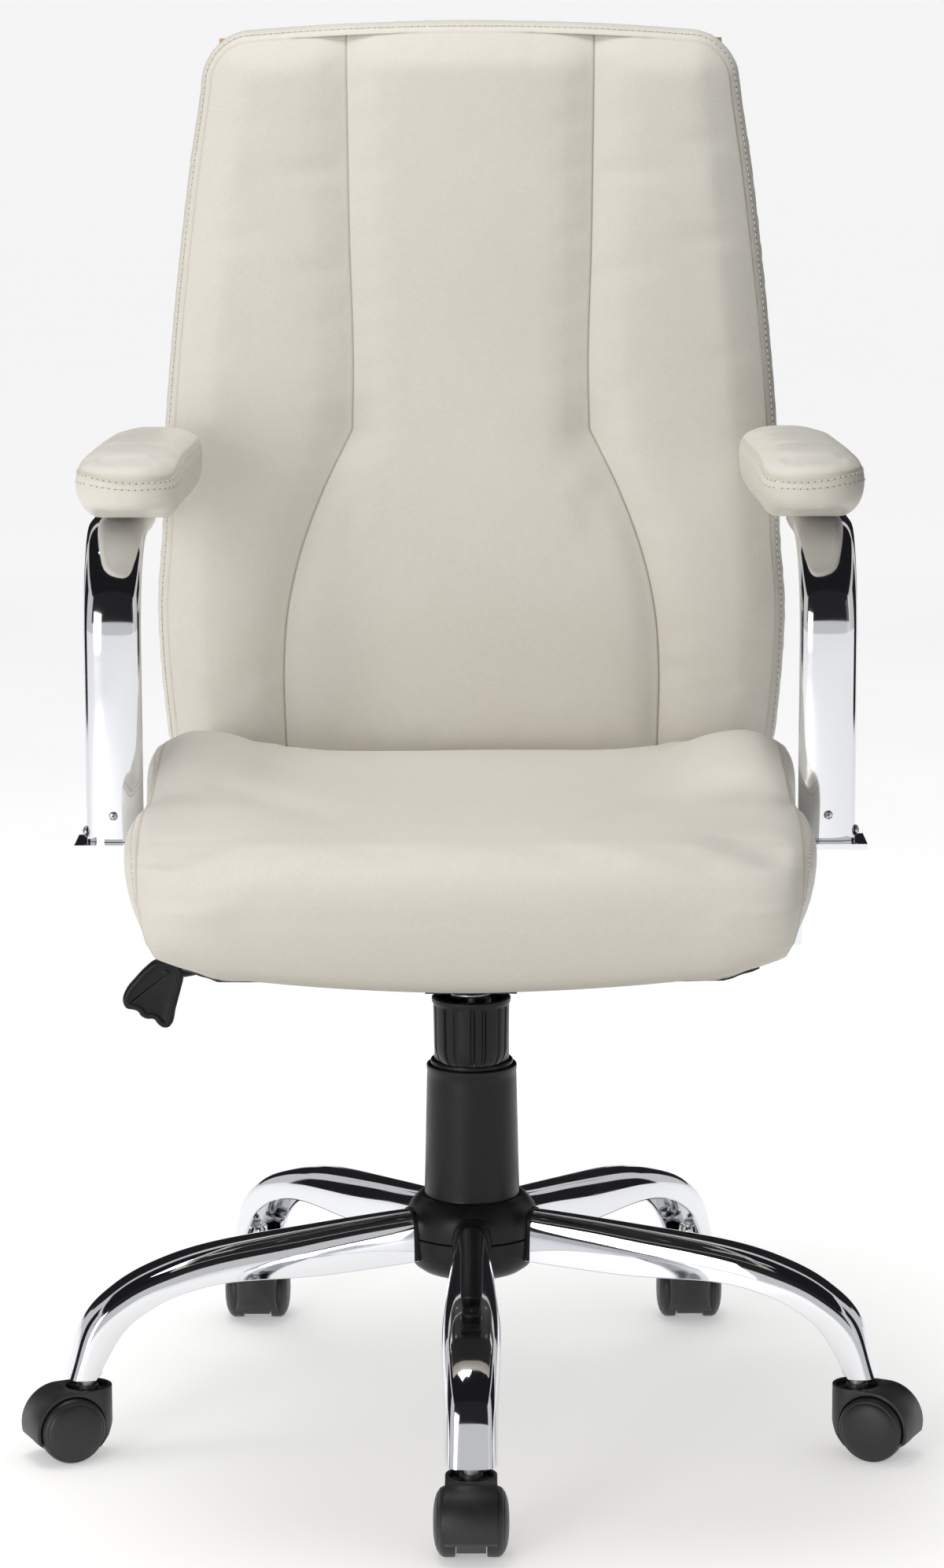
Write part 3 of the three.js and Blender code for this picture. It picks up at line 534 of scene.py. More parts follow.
def slab(shape, outline, low, high, edge, matrix=None):
    """A flat plate with rounded edges."""
    steps = [(1, 0), (0.62, 0.08), (0.29, 0.29), (0.08, 0.62), (0, 1)]
    levels = [(i, low + edge * h) for i, h in steps] + [(i, high - edge * h) for i, h in reversed(steps)]
    shape.rings([[(x, y, z) for x, y in inset(outline, edge * i)] for i, z in levels], matrix=matrix)


def facing(place, direction):
    """A matrix that puts a shape's +Z along direction, at a place."""
    turn = Vector(direction).normalized().to_track_quat("Z", "Y").to_matrix().to_4x4()
    return Matrix.Translation(Vector(place)) @ turn


def puffed(grid, held, pressure, cap, looseness=0.012):
    """Cloth over a grid of points, held at some and blown out by the foam; gives how far each point moved."""
    grid = np.array(grid, float)
    rows, columns = grid.shape[:2]
    index = np.arange(rows * columns).reshape(rows, columns)
    mesh = bpy.data.meshes.new("cloth")
    mesh.from_pydata((grid.reshape(-1, 3) * MM).tolist(), [], quads(index).tolist())
    cloth = bpy.data.objects.new("cloth", mesh)
    scene.collection.objects.link(cloth)
    pins = cloth.vertex_groups.new(name="held")
    pins.add([int(i) for i in index[np.array(held)]], 1.0, "REPLACE")
    modifier = cloth.modifiers.new("cloth", "CLOTH")
    s = modifier.settings
    s.vertex_group_mass = "held"
    s.quality = 6
    s.mass = 0.35
    s.tension_stiffness = s.compression_stiffness = 22
    s.bending_stiffness = 1.2
    s.shrink_min = -looseness
    s.use_pressure = True
    s.uniform_pressure_force = pressure
    s.effector_weights.gravity = 0
    modifier.collision_settings.use_collision = False
    modifier.point_cache.frame_end = 20
    for step in range(1, 21):
        scene.frame_set(step)
    result = cloth.evaluated_get(bpy.context.evaluated_depsgraph_get()).to_mesh()
    moved = np.zeros(rows * columns * 3, np.float32)
    result.vertices.foreach_get("co", moved)
    moved = moved.reshape(rows, columns, 3) / MM - grid
    bpy.data.objects.remove(cloth)
    scene.frame_set(1)
    length = np.linalg.norm(moved, axis=2, keepdims=True)
    return moved * np.minimum(1, cap / np.maximum(length, 1e-6))


def field(values, us, vs):
    """Reads a grid of vectors between its lines: us are the columns' places and vs the rows'."""

    def at(u, v):
        i = clamp(bisect_right(us, u) - 1, 0, len(us) - 2)
        j = clamp(bisect_right(vs, v) - 1, 0, len(vs) - 2)
        a = clamp((u - us[i]) / (us[i + 1] - us[i]))
        b = clamp((v - vs[j]) / (vs[j + 1] - vs[j]))
        a, b = a * a * (3 - 2 * a), b * b * (3 - 2 * b)
        low = values[j][i] * (1 - a) + values[j][i + 1] * a
        high = values[j + 1][i] * (1 - a) + values[j + 1][i + 1] * a
        return low * (1 - b) + high * b

    return at


def ripple(s, seed):
    """Irregular small waves along a seam, where the thread gathers the leather."""
    wave = math.sin(s / 1.9 + seed) * 0.4 + math.sin(s / 3.3 + 2.1 * seed) * 0.6
    return wave * (0.35 + 0.65 * abs(noise.noise(Vector((s / 38, seed, 0.5)))) * 2)


def uneven(p, size, seed):
    return noise.noise(Vector((p[0] / size + seed, p[1] / size, p[2] / size)))


def running(points):
    """The length along a line at each of its points."""
    return np.concatenate([[0], np.cumsum(np.linalg.norm(np.diff(points, axis=0), axis=1))])


def unit(vector):
    return vector / max(np.linalg.norm(vector), 1e-9)


def stitches(name, lines, pitch=4.9, length=3.3, radius=0.42):
    """Topstitching: threads lying along lines of (point, normal), each between two needle holes."""
    # Each thread's rings: place along it, thickness and height above the leather, in shares or millimetres.
    humps = ((-0.5, 0.35, -0.45), (-0.3, 0.9, 0.05), (0, 1, 0.22), (0.3, 0.9, 0.05), (0.5, 0.35, -0.45))
    around = circle(1, 6)
    shape = Shape()
    for line in lines:
        points = np.array([p for p, _ in line], float)
        normals = np.array([n for _, n in line], float)
        along = running(points)
        for k in range(int(along[-1] // pitch)):
            centre = (k + 0.5) * pitch
            place = lambda s, rows=points, at=along: np.array([np.interp(s, at, rows[:, i]) for i in range(3)])
            normal = unit(place(centre, normals))
            ahead = unit(place(centre + 0.5) - place(centre - 0.5))
            across = np.cross(normal, ahead)
            rings = []
            for share, thick, lift in humps:
                middle = place(centre + length * share) + normal * lift
                rings.append([middle + radius * thick * (c * across + s * normal) for c, s in around])
            shape.rings(rings)
            # A flat dark spot at each hole: painted shade of the needle hole.
            hole = place(centre + pitch / 2) + normal * 0.12
            spots = [hole + 0.62 * (1.3 * c * ahead + 0.8 * s * across) for c, s in around]
            shape.add([*spots, hole + normal * 0.08], [(i, (i + 1) % 6, 6) for i in range(6)], kind=1)
    shape.object(name, "seat", THREAD, NEEDLE_HOLE_SHADE, slot="leather", sharp=80)


# ---- Upholstery ----


def loop_of(index):
    """The points round the edge of a grid, in order."""
    index = np.array(index)
    return np.concatenate([index[0, :-1], index[:-1, -1], index[-1, :0:-1], index[:0:-1, 0]])


def mirrored(shares):
    """Places from -1 to 1 out of those from 0 to 1."""
    return [-u for u in reversed(shares[1:])] + shares


def edges_held(rows, columns, *seams):
    """Which points of a cloth grid stay put: its edges, and the columns of its seams."""
    fixed = (0, columns - 1, *seams)
    return [[j in (0, rows - 1) or i in fixed for i in range(columns)] for j in range(rows)]


def outward(loop):
    """Outward directions of a closed 2-D loop."""
    loop = np.array(loop, float)
    ahead = np.roll(loop, -1, axis=0) - np.roll(loop, 1, axis=0)
    ahead /= np.maximum(np.linalg.norm(ahead, axis=1)[:, None], 1e-9)
    area = np.sum(loop[:, 0] * np.roll(loop[:, 1], -1) - loop[:, 1] * np.roll(loop[:, 0], -1))
    return np.stack([ahead[:, 1], -ahead[:, 0]], axis=1) * (1 if area > 0 else -1)


class Cushion:
    """Two facing patches and the outline between them: at gives a place's two points, its seam mark (tan seam
    line and painted seam shade) and plan.
    """

    def __init__(self, places, at):
        cells = [[at(*place) for place in row] for row in places]
        pick = lambda k: np.array([[cell[k] for cell in row] for row in cells])
        self.face, self.floor, plan = pick(0), pick(1), pick(3)
        self.seam_lines_and_shades = [cell[2] for row in cells for cell in row]
        self.grid = np.arange(len(self.seam_lines_and_shades)).reshape(plan.shape[:2])
        self.loop = loop_of(self.grid)
        self.outline = plan.reshape(-1, 2)[self.loop]
        self.out = outward(self.outline)
        self.along = np.cumsum(np.linalg.norm(np.roll(self.outline, -1, axis=0) - self.outline, axis=1))

    def seam(self, at):
        """A line of stitching right round, from the outline's points and outward directions."""
        return [at(*self.outline[i], *self.out[i]) for i in (*range(len(self.outline)), 0)]

    def make(self, name, node, rings, move=tuple):
        """The closed piece, with rings of (points, seam mark) going down the boxing from the face to the floor;
        the seam mark is the tan seam line and painted shade.
        """
        shape = Shape()
        shape.add(self.face.reshape(-1, 3), quads(self.grid), seam_line_and_shade=self.seam_lines_and_shades)
        previous = self.loop
        for ring, tint in rings:
            previous = shape.band(previous, ring, tint)
        last = len(shape.points)
        shape.add(self.floor.reshape(-1, 3), quads(self.grid))
        shape.join(previous, self.loop + last)
        shape.points = [move(p) for p in shape.points]
        shape.object(name, "seat", LEATHER, node=node, sharp=60)


def cornered(a, b, half_a, low, high, r):
    """Draws a point of a rectangle into its rounded corners, and gives its distance from the edge."""
    p = (abs(a) - (half_a - r)) / r
    q = ((b - (high - r)) if b > (low + high) / 2 else ((low + r) - b)) / r
    if p <= 0 or q <= 0:
        return a, b, r * (1 - max(p, q))
    p, q = min(p, 1), min(q, 1)
    p, q = p * math.sqrt(1 - q * q / 2), q * math.sqrt(1 - p * p / 2)
    b = (high - r + r * q) if b > (low + high) / 2 else (low + r - r * q)
    return math.copysign(half_a - r + r * p, a), b, r * (1 - math.hypot(p, q))


# Front face of the back cushion by height: its depth at the middle, its half width, and the inner seams.
BACK_FACE = curve([(468, 180), (500, 180), (560, 181), (620, 179), (680, 185), (740, 197), (800, 209),
                   (880, 227), (960, 247), (1040, 267), (1064, 273)])
BACK_HALF = curve([(468, 240), (510, 244), (568, 249), (605, 250), (660, 246), (735, 244), (808, 239),
                   (882, 232), (957, 224), (1030, 215), (1064, 213)])
BACK_SEAM_LOW = curve([(468, 147), (500, 148), (560, 149), (600, 146), (650, 135), (696, 118), (744, 94.5)])
BACK_SEAM_HIGH = curve([(746, 94), (784, 93), (895, 96), (1062, 99)])
BACK_LOW, BACK_HIGH, BACK_KINK = 477, 1055, 745
BACK_DEPTH = 58
BOXING_IN = 9


def back_seam(z):
    return BACK_SEAM_LOW(z) if z < BACK_KINK else BACK_SEAM_HIGH(z)


def back_rows():
    ends = (1.2, 3, 6, 10)
    return spaced(BACK_LOW, BACK_KINK, 4.7, ends)[:-1] + spaced(BACK_KINK, BACK_HIGH, 4.7, ends)


def back_columns(z, middle, side, half, near=()):
    """Places across the back at one height; near adds places at those distances from each seam."""
    seam = back_seam(z)
    reach = near[0] if near else 0
    inner = [f * (seam - reach) for f in middle] + [seam - d for d in near[1:]] + ([seam] if near else [])
    outer = [seam + d for d in reversed(near[1:])] + [seam + reach + g * (half - seam - reach) for g in side]
    return mirrored(inner + (outer if near else outer[1:]))


def back_relief():
    """How the cloth of the back's panels bulges between its seams."""
    zs = spaced(BACK_LOW, BACK_HIGH, 13)
    middle = [i / 8 for i in range(9)]
    side = [i / 9 for i in range(10)]
    grid = []
    for z in zs:
        xs = back_columns(z, middle, side, BACK_HALF(z) - BOXING_IN)
        grid.append([(x, BACK_FACE(z), z) for x in xs])
    n = len(grid[0])
    moved = puffed(grid, edges_held(len(zs), n, 9, n - 10), 2.5, 4, 0.004)
    us = [i - (n - 1) / 2 for i in range(n)]
    read = field(moved, us, zs)

    def at(x, z):
        seam, half = back_seam(z), BACK_HALF(z) - BOXING_IN
        u = 8 * abs(x) / seam if abs(x) < seam else 8 + 9 * (abs(x) - seam) / (half - seam)
        return read(math.copysign(min(u, us[-1]), x), z)

    return at


def back_depth(x, z, edge):
    """How far the cover lies behind the back's face, and how much tan seam line and painted seam shade a seam
    gives it.
    """
    seam = back_seam(z)
    gap = abs(abs(x) - seam)
    upper = smooth(640, 800, z)
    inside = abs(x) < seam
    crown = (5.5 - 3.0 * upper) if inside else (6.5 - 3.5 * upper)
    along = abs(x) / seam if inside else 1 - min(1.0, (abs(x) - seam) / 70)
    depth = crown * (along ** 2 if inside else along ** 2.2)
    depth += (2.2 + 1.3 * (1 - upper)) * bell(gap, 15) + 1.0 * bell(gap, 0.9)
    depth += 7.0 * math.exp(-((abs(x) - 97) ** 2 + (z - 748) ** 2) / 21 ** 2)
    if edge < 34:
        depth += 8.5 * (1 - max(edge, 0) / 34) ** 2.3
    if gap < 16:
        depth += 0.18 * ripple(z, 1 if x > 0 else 4) * bell(gap, 6) * smooth(0.4, 2.5, gap)
    if edge < 16:
        depth += 0.25 * ripple(z * 0.8 + x * 0.9, 7) * bell(edge, 5)
    depth += 1.2 * uneven((x, 0, z), 130, 3.1) + 0.12 * uneven((x, 0, z), 34, 8.7)
    # Tan seam line with painted shade in the inner seams' crease and at the face's edge.
    dark = max(0.75 * bell(gap, 0.5), 0.3 * bell(edge, 0.6))
    return depth, dark


def top_dip(x, z):
    """The back's top edge is a shallow arch."""
    return 8.4 * min(1.2, abs(x) / 190) ** 2 * smooth(830, 1055, z)


def make_back():
    relief = back_relief()
    middle = [i / 18 for i in range(19)]
    side = [i / 24 for i in range(22)] + [0.905, 0.935, 0.96, 0.98, 0.993, 1]
    near = (9, 6.2, 4, 2.4, 1.3, 0.6, 0.25)
    half = lambda z: BACK_HALF(z) - BOXING_IN

    def at(x, z):
        a, b, edge = cornered(x, z, half(z), BACK_LOW, BACK_HIGH, 27)
        depth, dark = back_depth(a, b, edge)
        puff = relief(x, z) * smooth(0, 30, edge)
        b2 = b - top_dip(a, b)
        front = (a + 0.5 * puff[0], BACK_FACE(b2) + depth + puff[1], b2)
        return front, (a, BACK_FACE(b2) + BACK_DEPTH - 0.1, b2), dark, (a, b2)

    back = Cushion([[(x, z) for x in back_columns(z, middle, side, half(z), near)] for z in back_rows()], at)

    def ring(offset, depth, wrinkle=0.0, tint=0.0):
        made = []
        for (x, z), (nx, nz), s in zip(back.outline, back.out, back.along):
            push = offset + wrinkle * ripple(s, 2.5) + 0.5 * uneven((x, depth, z), 60, 5) * min(1, offset / 4)
            x2, z2 = x + nx * push, z + nz * push
            made.append((x2, BACK_FACE(z2) + depth, z2))
        return made, tint

    # The last number of the first two rings is painted seam shade where the face meets the boxing.
    rings = [(0.35, 9.1, 0.1, 0.35), (1.6, 9.9, 0.2, 0.05), (4.2, 12.2, 0.2), (6.3, 15.5, 0.3), (8.2, 21, 0.35),
             (9.2, 29, 0.3), (9.2, 38, 0.2), (8.6, 47, 0.2), (7.6, 56, 0.25), (6.0, 62, 0.3), (3.2, 65.6, 0.2),
             (1.0, 66.3), (0.4, 60), (0.2, 58.2)]
    back.make("back_leather", "back_cushion", [ring(*step) for step in rings])

    def sewn(x, z, nx, nz):
        z2 = z + nz * 5.1
        return (x + nx * 5.1, BACK_FACE(z2) + 13.1, z2), (nx * 0.75, -0.66, nz * 0.75)

    stitches("back_stitches", [back.seam(sewn)])


# Seat cushion stations from front to rear: y, half width, height at the middle and at the sides.
SEAT_W = curve([(-274, 196), (-270, 212), (-258, 228), (-236, 240), (-200, 247.5), (-150, 251), (-118, 248),
                (-86, 242.5), (-50, 240), (-30, 241.5), (0, 246), (50, 248), (100, 246), (140, 238), (160, 230),
                (175, 214)])
SEAT_LOOP_MIDDLE = [(-274.6, 436), (-273.9, 452), (-269.5, 463), (-258, 477), (-236, 487.5), (-200, 494.3),
                    (-150, 498), (-118, 499), (-86, 499.2), (-50, 499), (10, 498.5), (70, 498), (120, 497.8),
                    (155, 496.5), (168, 492), (174.5, 482), (175.4, 462)]
TOP_Y, TOP_Z = ([p[k] for p in SEAT_LOOP_MIDDLE] for k in (0, 1))
SEAT_LOOP_LOW = [(175.4, 440), (175, 414), (170, 400), (155, 396), (100, 395.9), (0, 395.9), (-100, 395.9),
                 (-200, 395.9), (-239.5, 395.9), (-241, 396.4), (-257, 398), (-268, 405), (-273.4, 419)]
SEAT_SIDE_TOP = curve([(-274, 448), (-258, 470), (-236, 481), (-200, 490), (-150, 498.5), (-118, 504),
                       (-86, 512), (-50, 520), (-10, 525), (30, 526), (70, 523), (110, 517), (145, 508),
                       (168, 496), (175, 484)])
SEAT_SEAM_TOP = curve([(-274, 236), (-250, 237), (-200, 238), (-150, 239), (-118, 238), (-86, 236), (-50, 234),
                       (10, 234), (70, 233), (120, 229), (155, 222), (175, 206)])
SEAT_SEAM_NOSE = curve([(395, 217), (399, 221), (408, 225), (420, 229), (436, 232), (452, 235)])
SEAT_NOSE_PULL = curve([(0, 1), (150, 1), (196, 0.985), (212, 0.93), (228, 0.77), (240, 0.52), (250, 0.4)])
SEAT_LIFT = curve([(0, 0), (0.45, 0.0), (0.56, 0.06), (0.66, 0.27), (0.75, 0.66), (0.83, 0.9), (0.92, 1.0),
                   (1, 0.97)])
SEAT_VALLEY = curve([(0, -170), (97, -146), (127, -116), (150, -92), (175, -84), (200, -92), (240, -90)])
SEAT_VALLEY_DEPTH = curve([(0, 0), (70, 0.5), (97, 1.6), (127, 3.2), (150, 5), (185, 7.5), (240, 8.5)])
# The front edge of the seat's board, where the cover turns under it, by distance from the middle.
SEAT_PAN_FRONT = curve([(0, -240), (150, -236), (180, -231), (204, -193), (215, -172), (240, -165)])
SEAT_NOSE_FOLD = -240
SEAT_MID_Z = 464
SEAT_FLOOR = 395.9


def seat_loop():
    """The seat's middle section as points going up the nose, back along the top, and forward underneath."""
    over = resample(SEAT_LOOP_MIDDLE, 4.6)
    under = resample(SEAT_LOOP_LOW, 4.6)
    count = max(len(over), len(under))
    spread = lambda line: np.array([[np.interp(k / (count - 1), np.linspace(0, 1, len(line)), line[:, i])
                                     for i in range(2)] for k in range(count)])
    return spread(over), spread(under)


def seat_point(u, y, z, top):
    """A point of the seat's cover: u is a share of the seam's half width, (y, z) is on the middle section."""
    seam = seat_seam(y, z, top)
    x = abs(u) * seam
    if top:
        z += (SEAT_SIDE_TOP(y) - np.interp(y, TOP_Y, TOP_Z)) * SEAT_LIFT(abs(u)) * smooth(440, 470, z)
        z -= SEAT_VALLEY_DEPTH(x) * bell(y - SEAT_VALLEY(x), 24 + 18 * (1 - x / 240))
        z -= 3.0 * bell(x / 95, 1) * bell((y - 20) / 150, 1)
    tip = -200 - 74.6 * SEAT_NOSE_PULL(x)
    if not top and y < -150:
        pan = SEAT_PAN_FRONT(x)
        if y < SEAT_NOSE_FOLD:
            z += (14 * (x / 211) ** 1.6 - 6.5) * smooth(436, 408, z) * smooth(SEAT_NOSE_FOLD, -247, y)
            y = pan + (tip - pan) * (SEAT_NOSE_FOLD - y) / (SEAT_NOSE_FOLD + 274.6)
        else:
            y = -150 + (pan + 150) * (y + 150) / (SEAT_NOSE_FOLD + 150)
    elif y < -200:
        y = -200 + (y + 200) * SEAT_NOSE_PULL(x)
    return x, y, z


def seat_seam(y, z, top):
    if y < -225 and z < 452:
        return SEAT_SEAM_NOSE(z)
    if top or y > 168:
        return SEAT_SEAM_TOP(y)
    return SEAT_SEAM_TOP(y) - 21 * smooth(SEAT_MID_Z, SEAT_FLOOR + 2, z)


def seat_relief(over):
    """How the seat's top panel bulges in front of its side seams."""
    part = over[::3]
    us = [i / 10 - 1 for i in range(21)]
    grid = []
    for y, z in part:
        row = [(u, *seat_point(u, y, z, True)) for u in us]
        grid.append([(math.copysign(x, u), y2, z2) for u, x, y2, z2 in row])
    moved = puffed(grid, edges_held(len(part), 21), 2.0, 2.5, 0.004)
    read = field(moved, us, list(range(len(part))))
    return lambda u, k: read(u, k / 3)


def make_seat():
    over, under = seat_loop()
    relief = seat_relief(over)
    across = mirrored([i / 20 for i in range(14)] + [0.69, 0.73, 0.77, 0.805, 0.84, 0.87, 0.9, 0.925, 0.945,
                                                     0.96, 0.973, 0.984, 0.993, 1])
    loop = [(y, z, True) for y, z in over] + [(y, z, False) for y, z in under]
    shape = Shape()
    points, seam_lines_and_shades = [], []
    for k, (y, z, top) in enumerate(loop):
        for u in across:
            x, y2, z2 = seat_point(u, y, z, top)
            seam = seat_seam(y, z, top)
            gap = (1 - abs(u)) * seam
            drop = 3.4 * max(0, 1 - gap / 12) ** 2 + 0.3 * ripple(y * 0.9 + z, 3 if u > 0 else 6) * bell(gap, 7)
            drop += 0.9 * uneven((u * seam, y, z), 110, 1.7) + 0.12 * uneven((u * seam, y, z), 30, 2.9)
            if top:
                back = bisect_normal(over, k)
                puff = relief(u, k) * smooth(0, 14, gap) * smooth(178, 150, y)
            else:
                back = (0, -1) if y > 165 else (0, 0)
                drop *= 0 if z < SEAT_FLOOR + 1 else 0.5
                puff = (0, 0, 0)
                if y < -240:
                    back = (-0.8, -0.6)
            points.append((math.copysign(x, u) + puff[0] * 0.5, y2 - back[0] * drop + puff[1],
                           z2 - back[1] * drop + puff[2]))
            # Tan seam line with painted shade in the side seam's crease.
            seam_lines_and_shades.append(0.7 * bell(gap, 0.8))
    rows, columns = len(loop), len(across)
    index = np.arange(rows * columns).reshape(rows, columns)
    faces = quads(index, True, False)
    shape.add(points, faces, seam_line_and_shade=seam_lines_and_shades)
    for i, face in enumerate(faces):
        x, y, z = np.mean([points[p] for p in face], axis=0)
        if z < SEAT_FLOOR + 0.7 and abs(x) < 206 and SEAT_PAN_FRONT(abs(x)) - 2 <= y < 150:
            shape.kinds[i] = 1

    seams = {}
    for _, side in SIDES:
        edge = index[:, -1] if side > 0 else index[:, 0]
        rim = np.array([points[i] for i in edge])
        previous = edge
        steps = [(0.02, 0.12), (0.06, 0.3), (0.11, 0.5), (0.18, 0.68), (0.27, 0.82), (0.38, 0.92), (0.5, 0.97),
                 (0.64, 0.99), (0.8, 1.0), (0.94, 1.0)]
        for t, bulge in steps:
            ring = []
            for x, y, z in rim:
                my = clamp(y, -168, 130)
                mz = SEAT_MID_Z + 10 * smooth(-120, 20, my)
                y2, z2 = y + (my - y) * t, z + (mz - z) * t
                w = SEAT_W(y2) - 0.4 - 24 * clamp((475 - z2) / 78) ** 1.9
                x2 = abs(x) + (max(w, abs(x) + 2.0) - abs(x)) * bulge
                waves = 0.35 * ripple(y * 1.1 + z * 0.8, 9) * bell(t, 0.2)
                x2 += waves + 0.8 * uneven((x2, y2, z2), 70, 4.4) * t
                ring.append((side * x2, y2, max(z2, SEAT_FLOOR)))
            # The ring just below the seam gets painted seam shade.
            previous = shape.band(previous, ring, 0.3 if t == 0.02 else 0.0)
            if t == 0.11:
                seams[side] = ring
        for i in range(rows // 2):
            corners = (i, (i + 1) % rows, (rows - i - 2) % rows, (rows - i - 1) % rows)
            shape.faces.append(tuple(int(previous[c]) for c in corners))
            shape.kinds.append(0)
    shape.object("seat_leather", "seat", LEATHER, DUST_CLOTH, node="seat_cushion", sharp=60)
    lines = [[(p, (side * 0.93, -0.1, 0.35)) for p in ring[:len(over) - 4]] for side, ring in seams.items()]
    stitches("seat_stitches", lines)


def bisect_normal(line, k):
    """Outward direction of the seat's middle section at one of its points."""
    a, b = line[max(k - 1, 0)], line[min(k + 1, len(line) - 1)]
    dy, dz = b[0] - a[0], b[1] - a[1]
    length = max(math.hypot(dy, dz), 1e-9)
    return -dz / length, dy / length


# Arm pads by distance from front to rear: half width and top.
PAD_HALF = curve([(-95, 12), (-92, 20), (-86, 29), (-78, 35), (-66, 38.2), (-50, 39.5), (10, 39.5), (80, 39),
                  (120, 37.8), (145, 34), (158, 28.5), (166, 20), (169, 12)])
PAD_TOP = curve([(-95, 737), (-88, 743.5), (-72, 750), (-50, 753.5), (10, 755), (80, 755), (135, 753),
                 (158, 749), (169, 741)])
PAD_FRONT, PAD_REAR = -95, 169
PAD_DRAWN = 3
PAD_SEAM_Z, PAD_FLOOR_Z = 736.5, 701.6


def pad_plan(u, y):
    """A place in the pad's plan with both ends rounded, and its distance from the edge."""
    half = 39.5 - PAD_DRAWN
    a, b, edge = cornered(u * half, y, half, PAD_FRONT + PAD_DRAWN, PAD_REAR - PAD_DRAWN, 34)
    return a * (PAD_HALF(clamp(b, -60, 120)) - PAD_DRAWN) / half, b, edge


def make_pad(name, side):
    across = mirrored([0.08 * i for i in range(10)] + [0.79, 0.85, 0.9, 0.94, 0.97, 0.988, 1])
    move = lambda p: (side * (252 - 8 * max(0, p[1]) / 168) + p[0], p[1], p[2])
    ends = PAD_FRONT + PAD_DRAWN, PAD_REAR - PAD_DRAWN
    coarse_y = spaced(*ends, 9)
    coarse_u = [i / 7 - 1 for i in range(15)]
    grid = []
    for y in coarse_y:
        row = [pad_plan(u, y)[:2] for u in coarse_u]
        grid.append([(a, b, PAD_TOP(clamp(b, -58, 128))) for a, b in row])
    read = field(puffed(grid, edges_held(len(coarse_y), 15), 2.5, 2.0), coarse_u, coarse_y)

    def at(u, y):
        a, b, edge = pad_plan(u, y)
        rise = 9 * smooth(-8, 42, -a * side) * smooth(-82, -40, b)
        seam_z = PAD_SEAM_Z + rise + 6 * smooth(-8, 42, a * side)
        top = PAD_TOP(clamp(b, -58, 128)) - 1.2
        crown = top - (top - seam_z) * (1 - (1 - (1 - clamp(edge / 33)) ** 2.3) ** 0.5)
        crown += 0.5 * uneven((a, b, 3 * side), 40, 1) + 0.3 * ripple(b + a, 5) * bell(edge, 6)
        face = (a, b, crown + (read(u, y) * smooth(0, 12, edge))[2])
        floor = (a * 0.62, PAD_FRONT + 17 + (b - PAD_FRONT) * 0.93, PAD_FLOOR_Z + 11.5 * smooth(-25, -85, b))
        # Tan seam line with painted shade at the edge of the pad's top.
        return face, floor, 0.4 * bell(edge, 0.6), (a, b)

    ys = spaced(*ends, 3.4, (0.8, 2, 4, 7))
    pad = Cushion([[(u, y) for u in across] for y in ys], at)
    rim = pad.face.reshape(-1, 3)[pad.loop]
    foot = pad.floor.reshape(-1, 3)[pad.loop]
    # Each step: share down the side, swell, and painted shade, at the top seam and where the leather turns
    # under the pad.
    steps = [(0.0, 0.5, 0.45), (0.05, 1.2, 0.05), (0.14, 1.9, 0), (0.25, 2.4, 0), (0.37, 2.7, 0), (0.5, 2.9, 0),
             (0.62, 2.9, 0), (0.72, 2.7, 0), (0.8, 2.3, 0), (0.87, 1.7, 0), (0.93, 1.0, 0), (0.98, 0.2, 0.1),
             (1.0, 0.0, 0.2)]
    rings = {}
    for t, swell, tint in steps:
        pulled = 1 - math.sqrt(max(0.0, 1 - t ** 2.6))
        ring = []
        for (x0, y0, z0), (x1, y1, z1), (nx, ny), s in zip(rim, foot, pad.out, pad.along):
            x, y = x0 + (x1 - x0) * pulled, y0 + (y1 - y0) * pulled
            z = z0 + (z1 - z0) * t - (0.7 if t == 0 else 0)
            fold = 0.12 + 0.2 * bell(t - 0.85, 0.2) * smooth(-20, -75, y0)
            push = swell + fold * ripple(s * 0.8, 3.5 + side) * 0.8
            ring.append((x + nx * push, y + ny * push, z))
        rings[t] = ring, tint
    pad.make("pad_leather_" + name, "arm_pad_" + name, rings.values(), move)
    closed = (*range(len(pad.out)), 0)
    stitches("pad_stitches_" + name, [[(move(rings[t][0][i]), (*pad.out[i], lift)) for i in closed]
                                      for t, lift in ((0.05, 0.35), (0.25, 0.1))])


def make_rear_cover():
    """The leather-covered board behind the back, slightly padded, with stitching round its edge."""
    low, high, corner = 474, 1056, 15
    across = mirrored([0.08 * i for i in range(10)] + [0.79, 0.85, 0.9, 0.94, 0.97, 0.985, 0.994, 1])

    def at(u, z):
        half = BACK_HALF(z) - 4
        a, b, edge = cornered(u * half, z, half, low, high, corner)
        b2 = b - top_dip(a, b)
        crown = 80.8 - 3.2 * (1 - smooth(0, 70, edge)) - 3.2 * max(0, 1 - edge / 7) ** 2
        crown += 0.4 * uneven((a, 5, b), 90, 6)
        return (a, BACK_FACE(b2) + crown, b2), (a, BACK_FACE(b2) + 68.9, b2), 0.0, (a, b2)

    cover = Cushion([[(u, z) for u in across] for z in spaced(low, high, 9, (1.5, 4, 8, 14))], at)
    rings = []
    for offset, depth in ((0.8, 73.6), (1.2, 72.2), (1.0, 70.6), (0.3, 69.2)):
        rings.append(([(x + nx * offset, BACK_FACE(z + nz * offset) + depth, z + nz * offset)
                       for (x, z), (nx, nz) in zip(cover.outline, cover.out)], 0.0))
    cover.make("rear_leather", "back_rear_cover", rings)

    def sewn(x, z, nx, nz):
        z2 = z - nz * 7.5
        return (x - nx * 7.5, BACK_FACE(z2) + 77.7, z2), (0, 1, 0)

    stitches("rear_stitches", [cover.seam(sewn)], pitch=5.2)


# ---- Star base and column ----


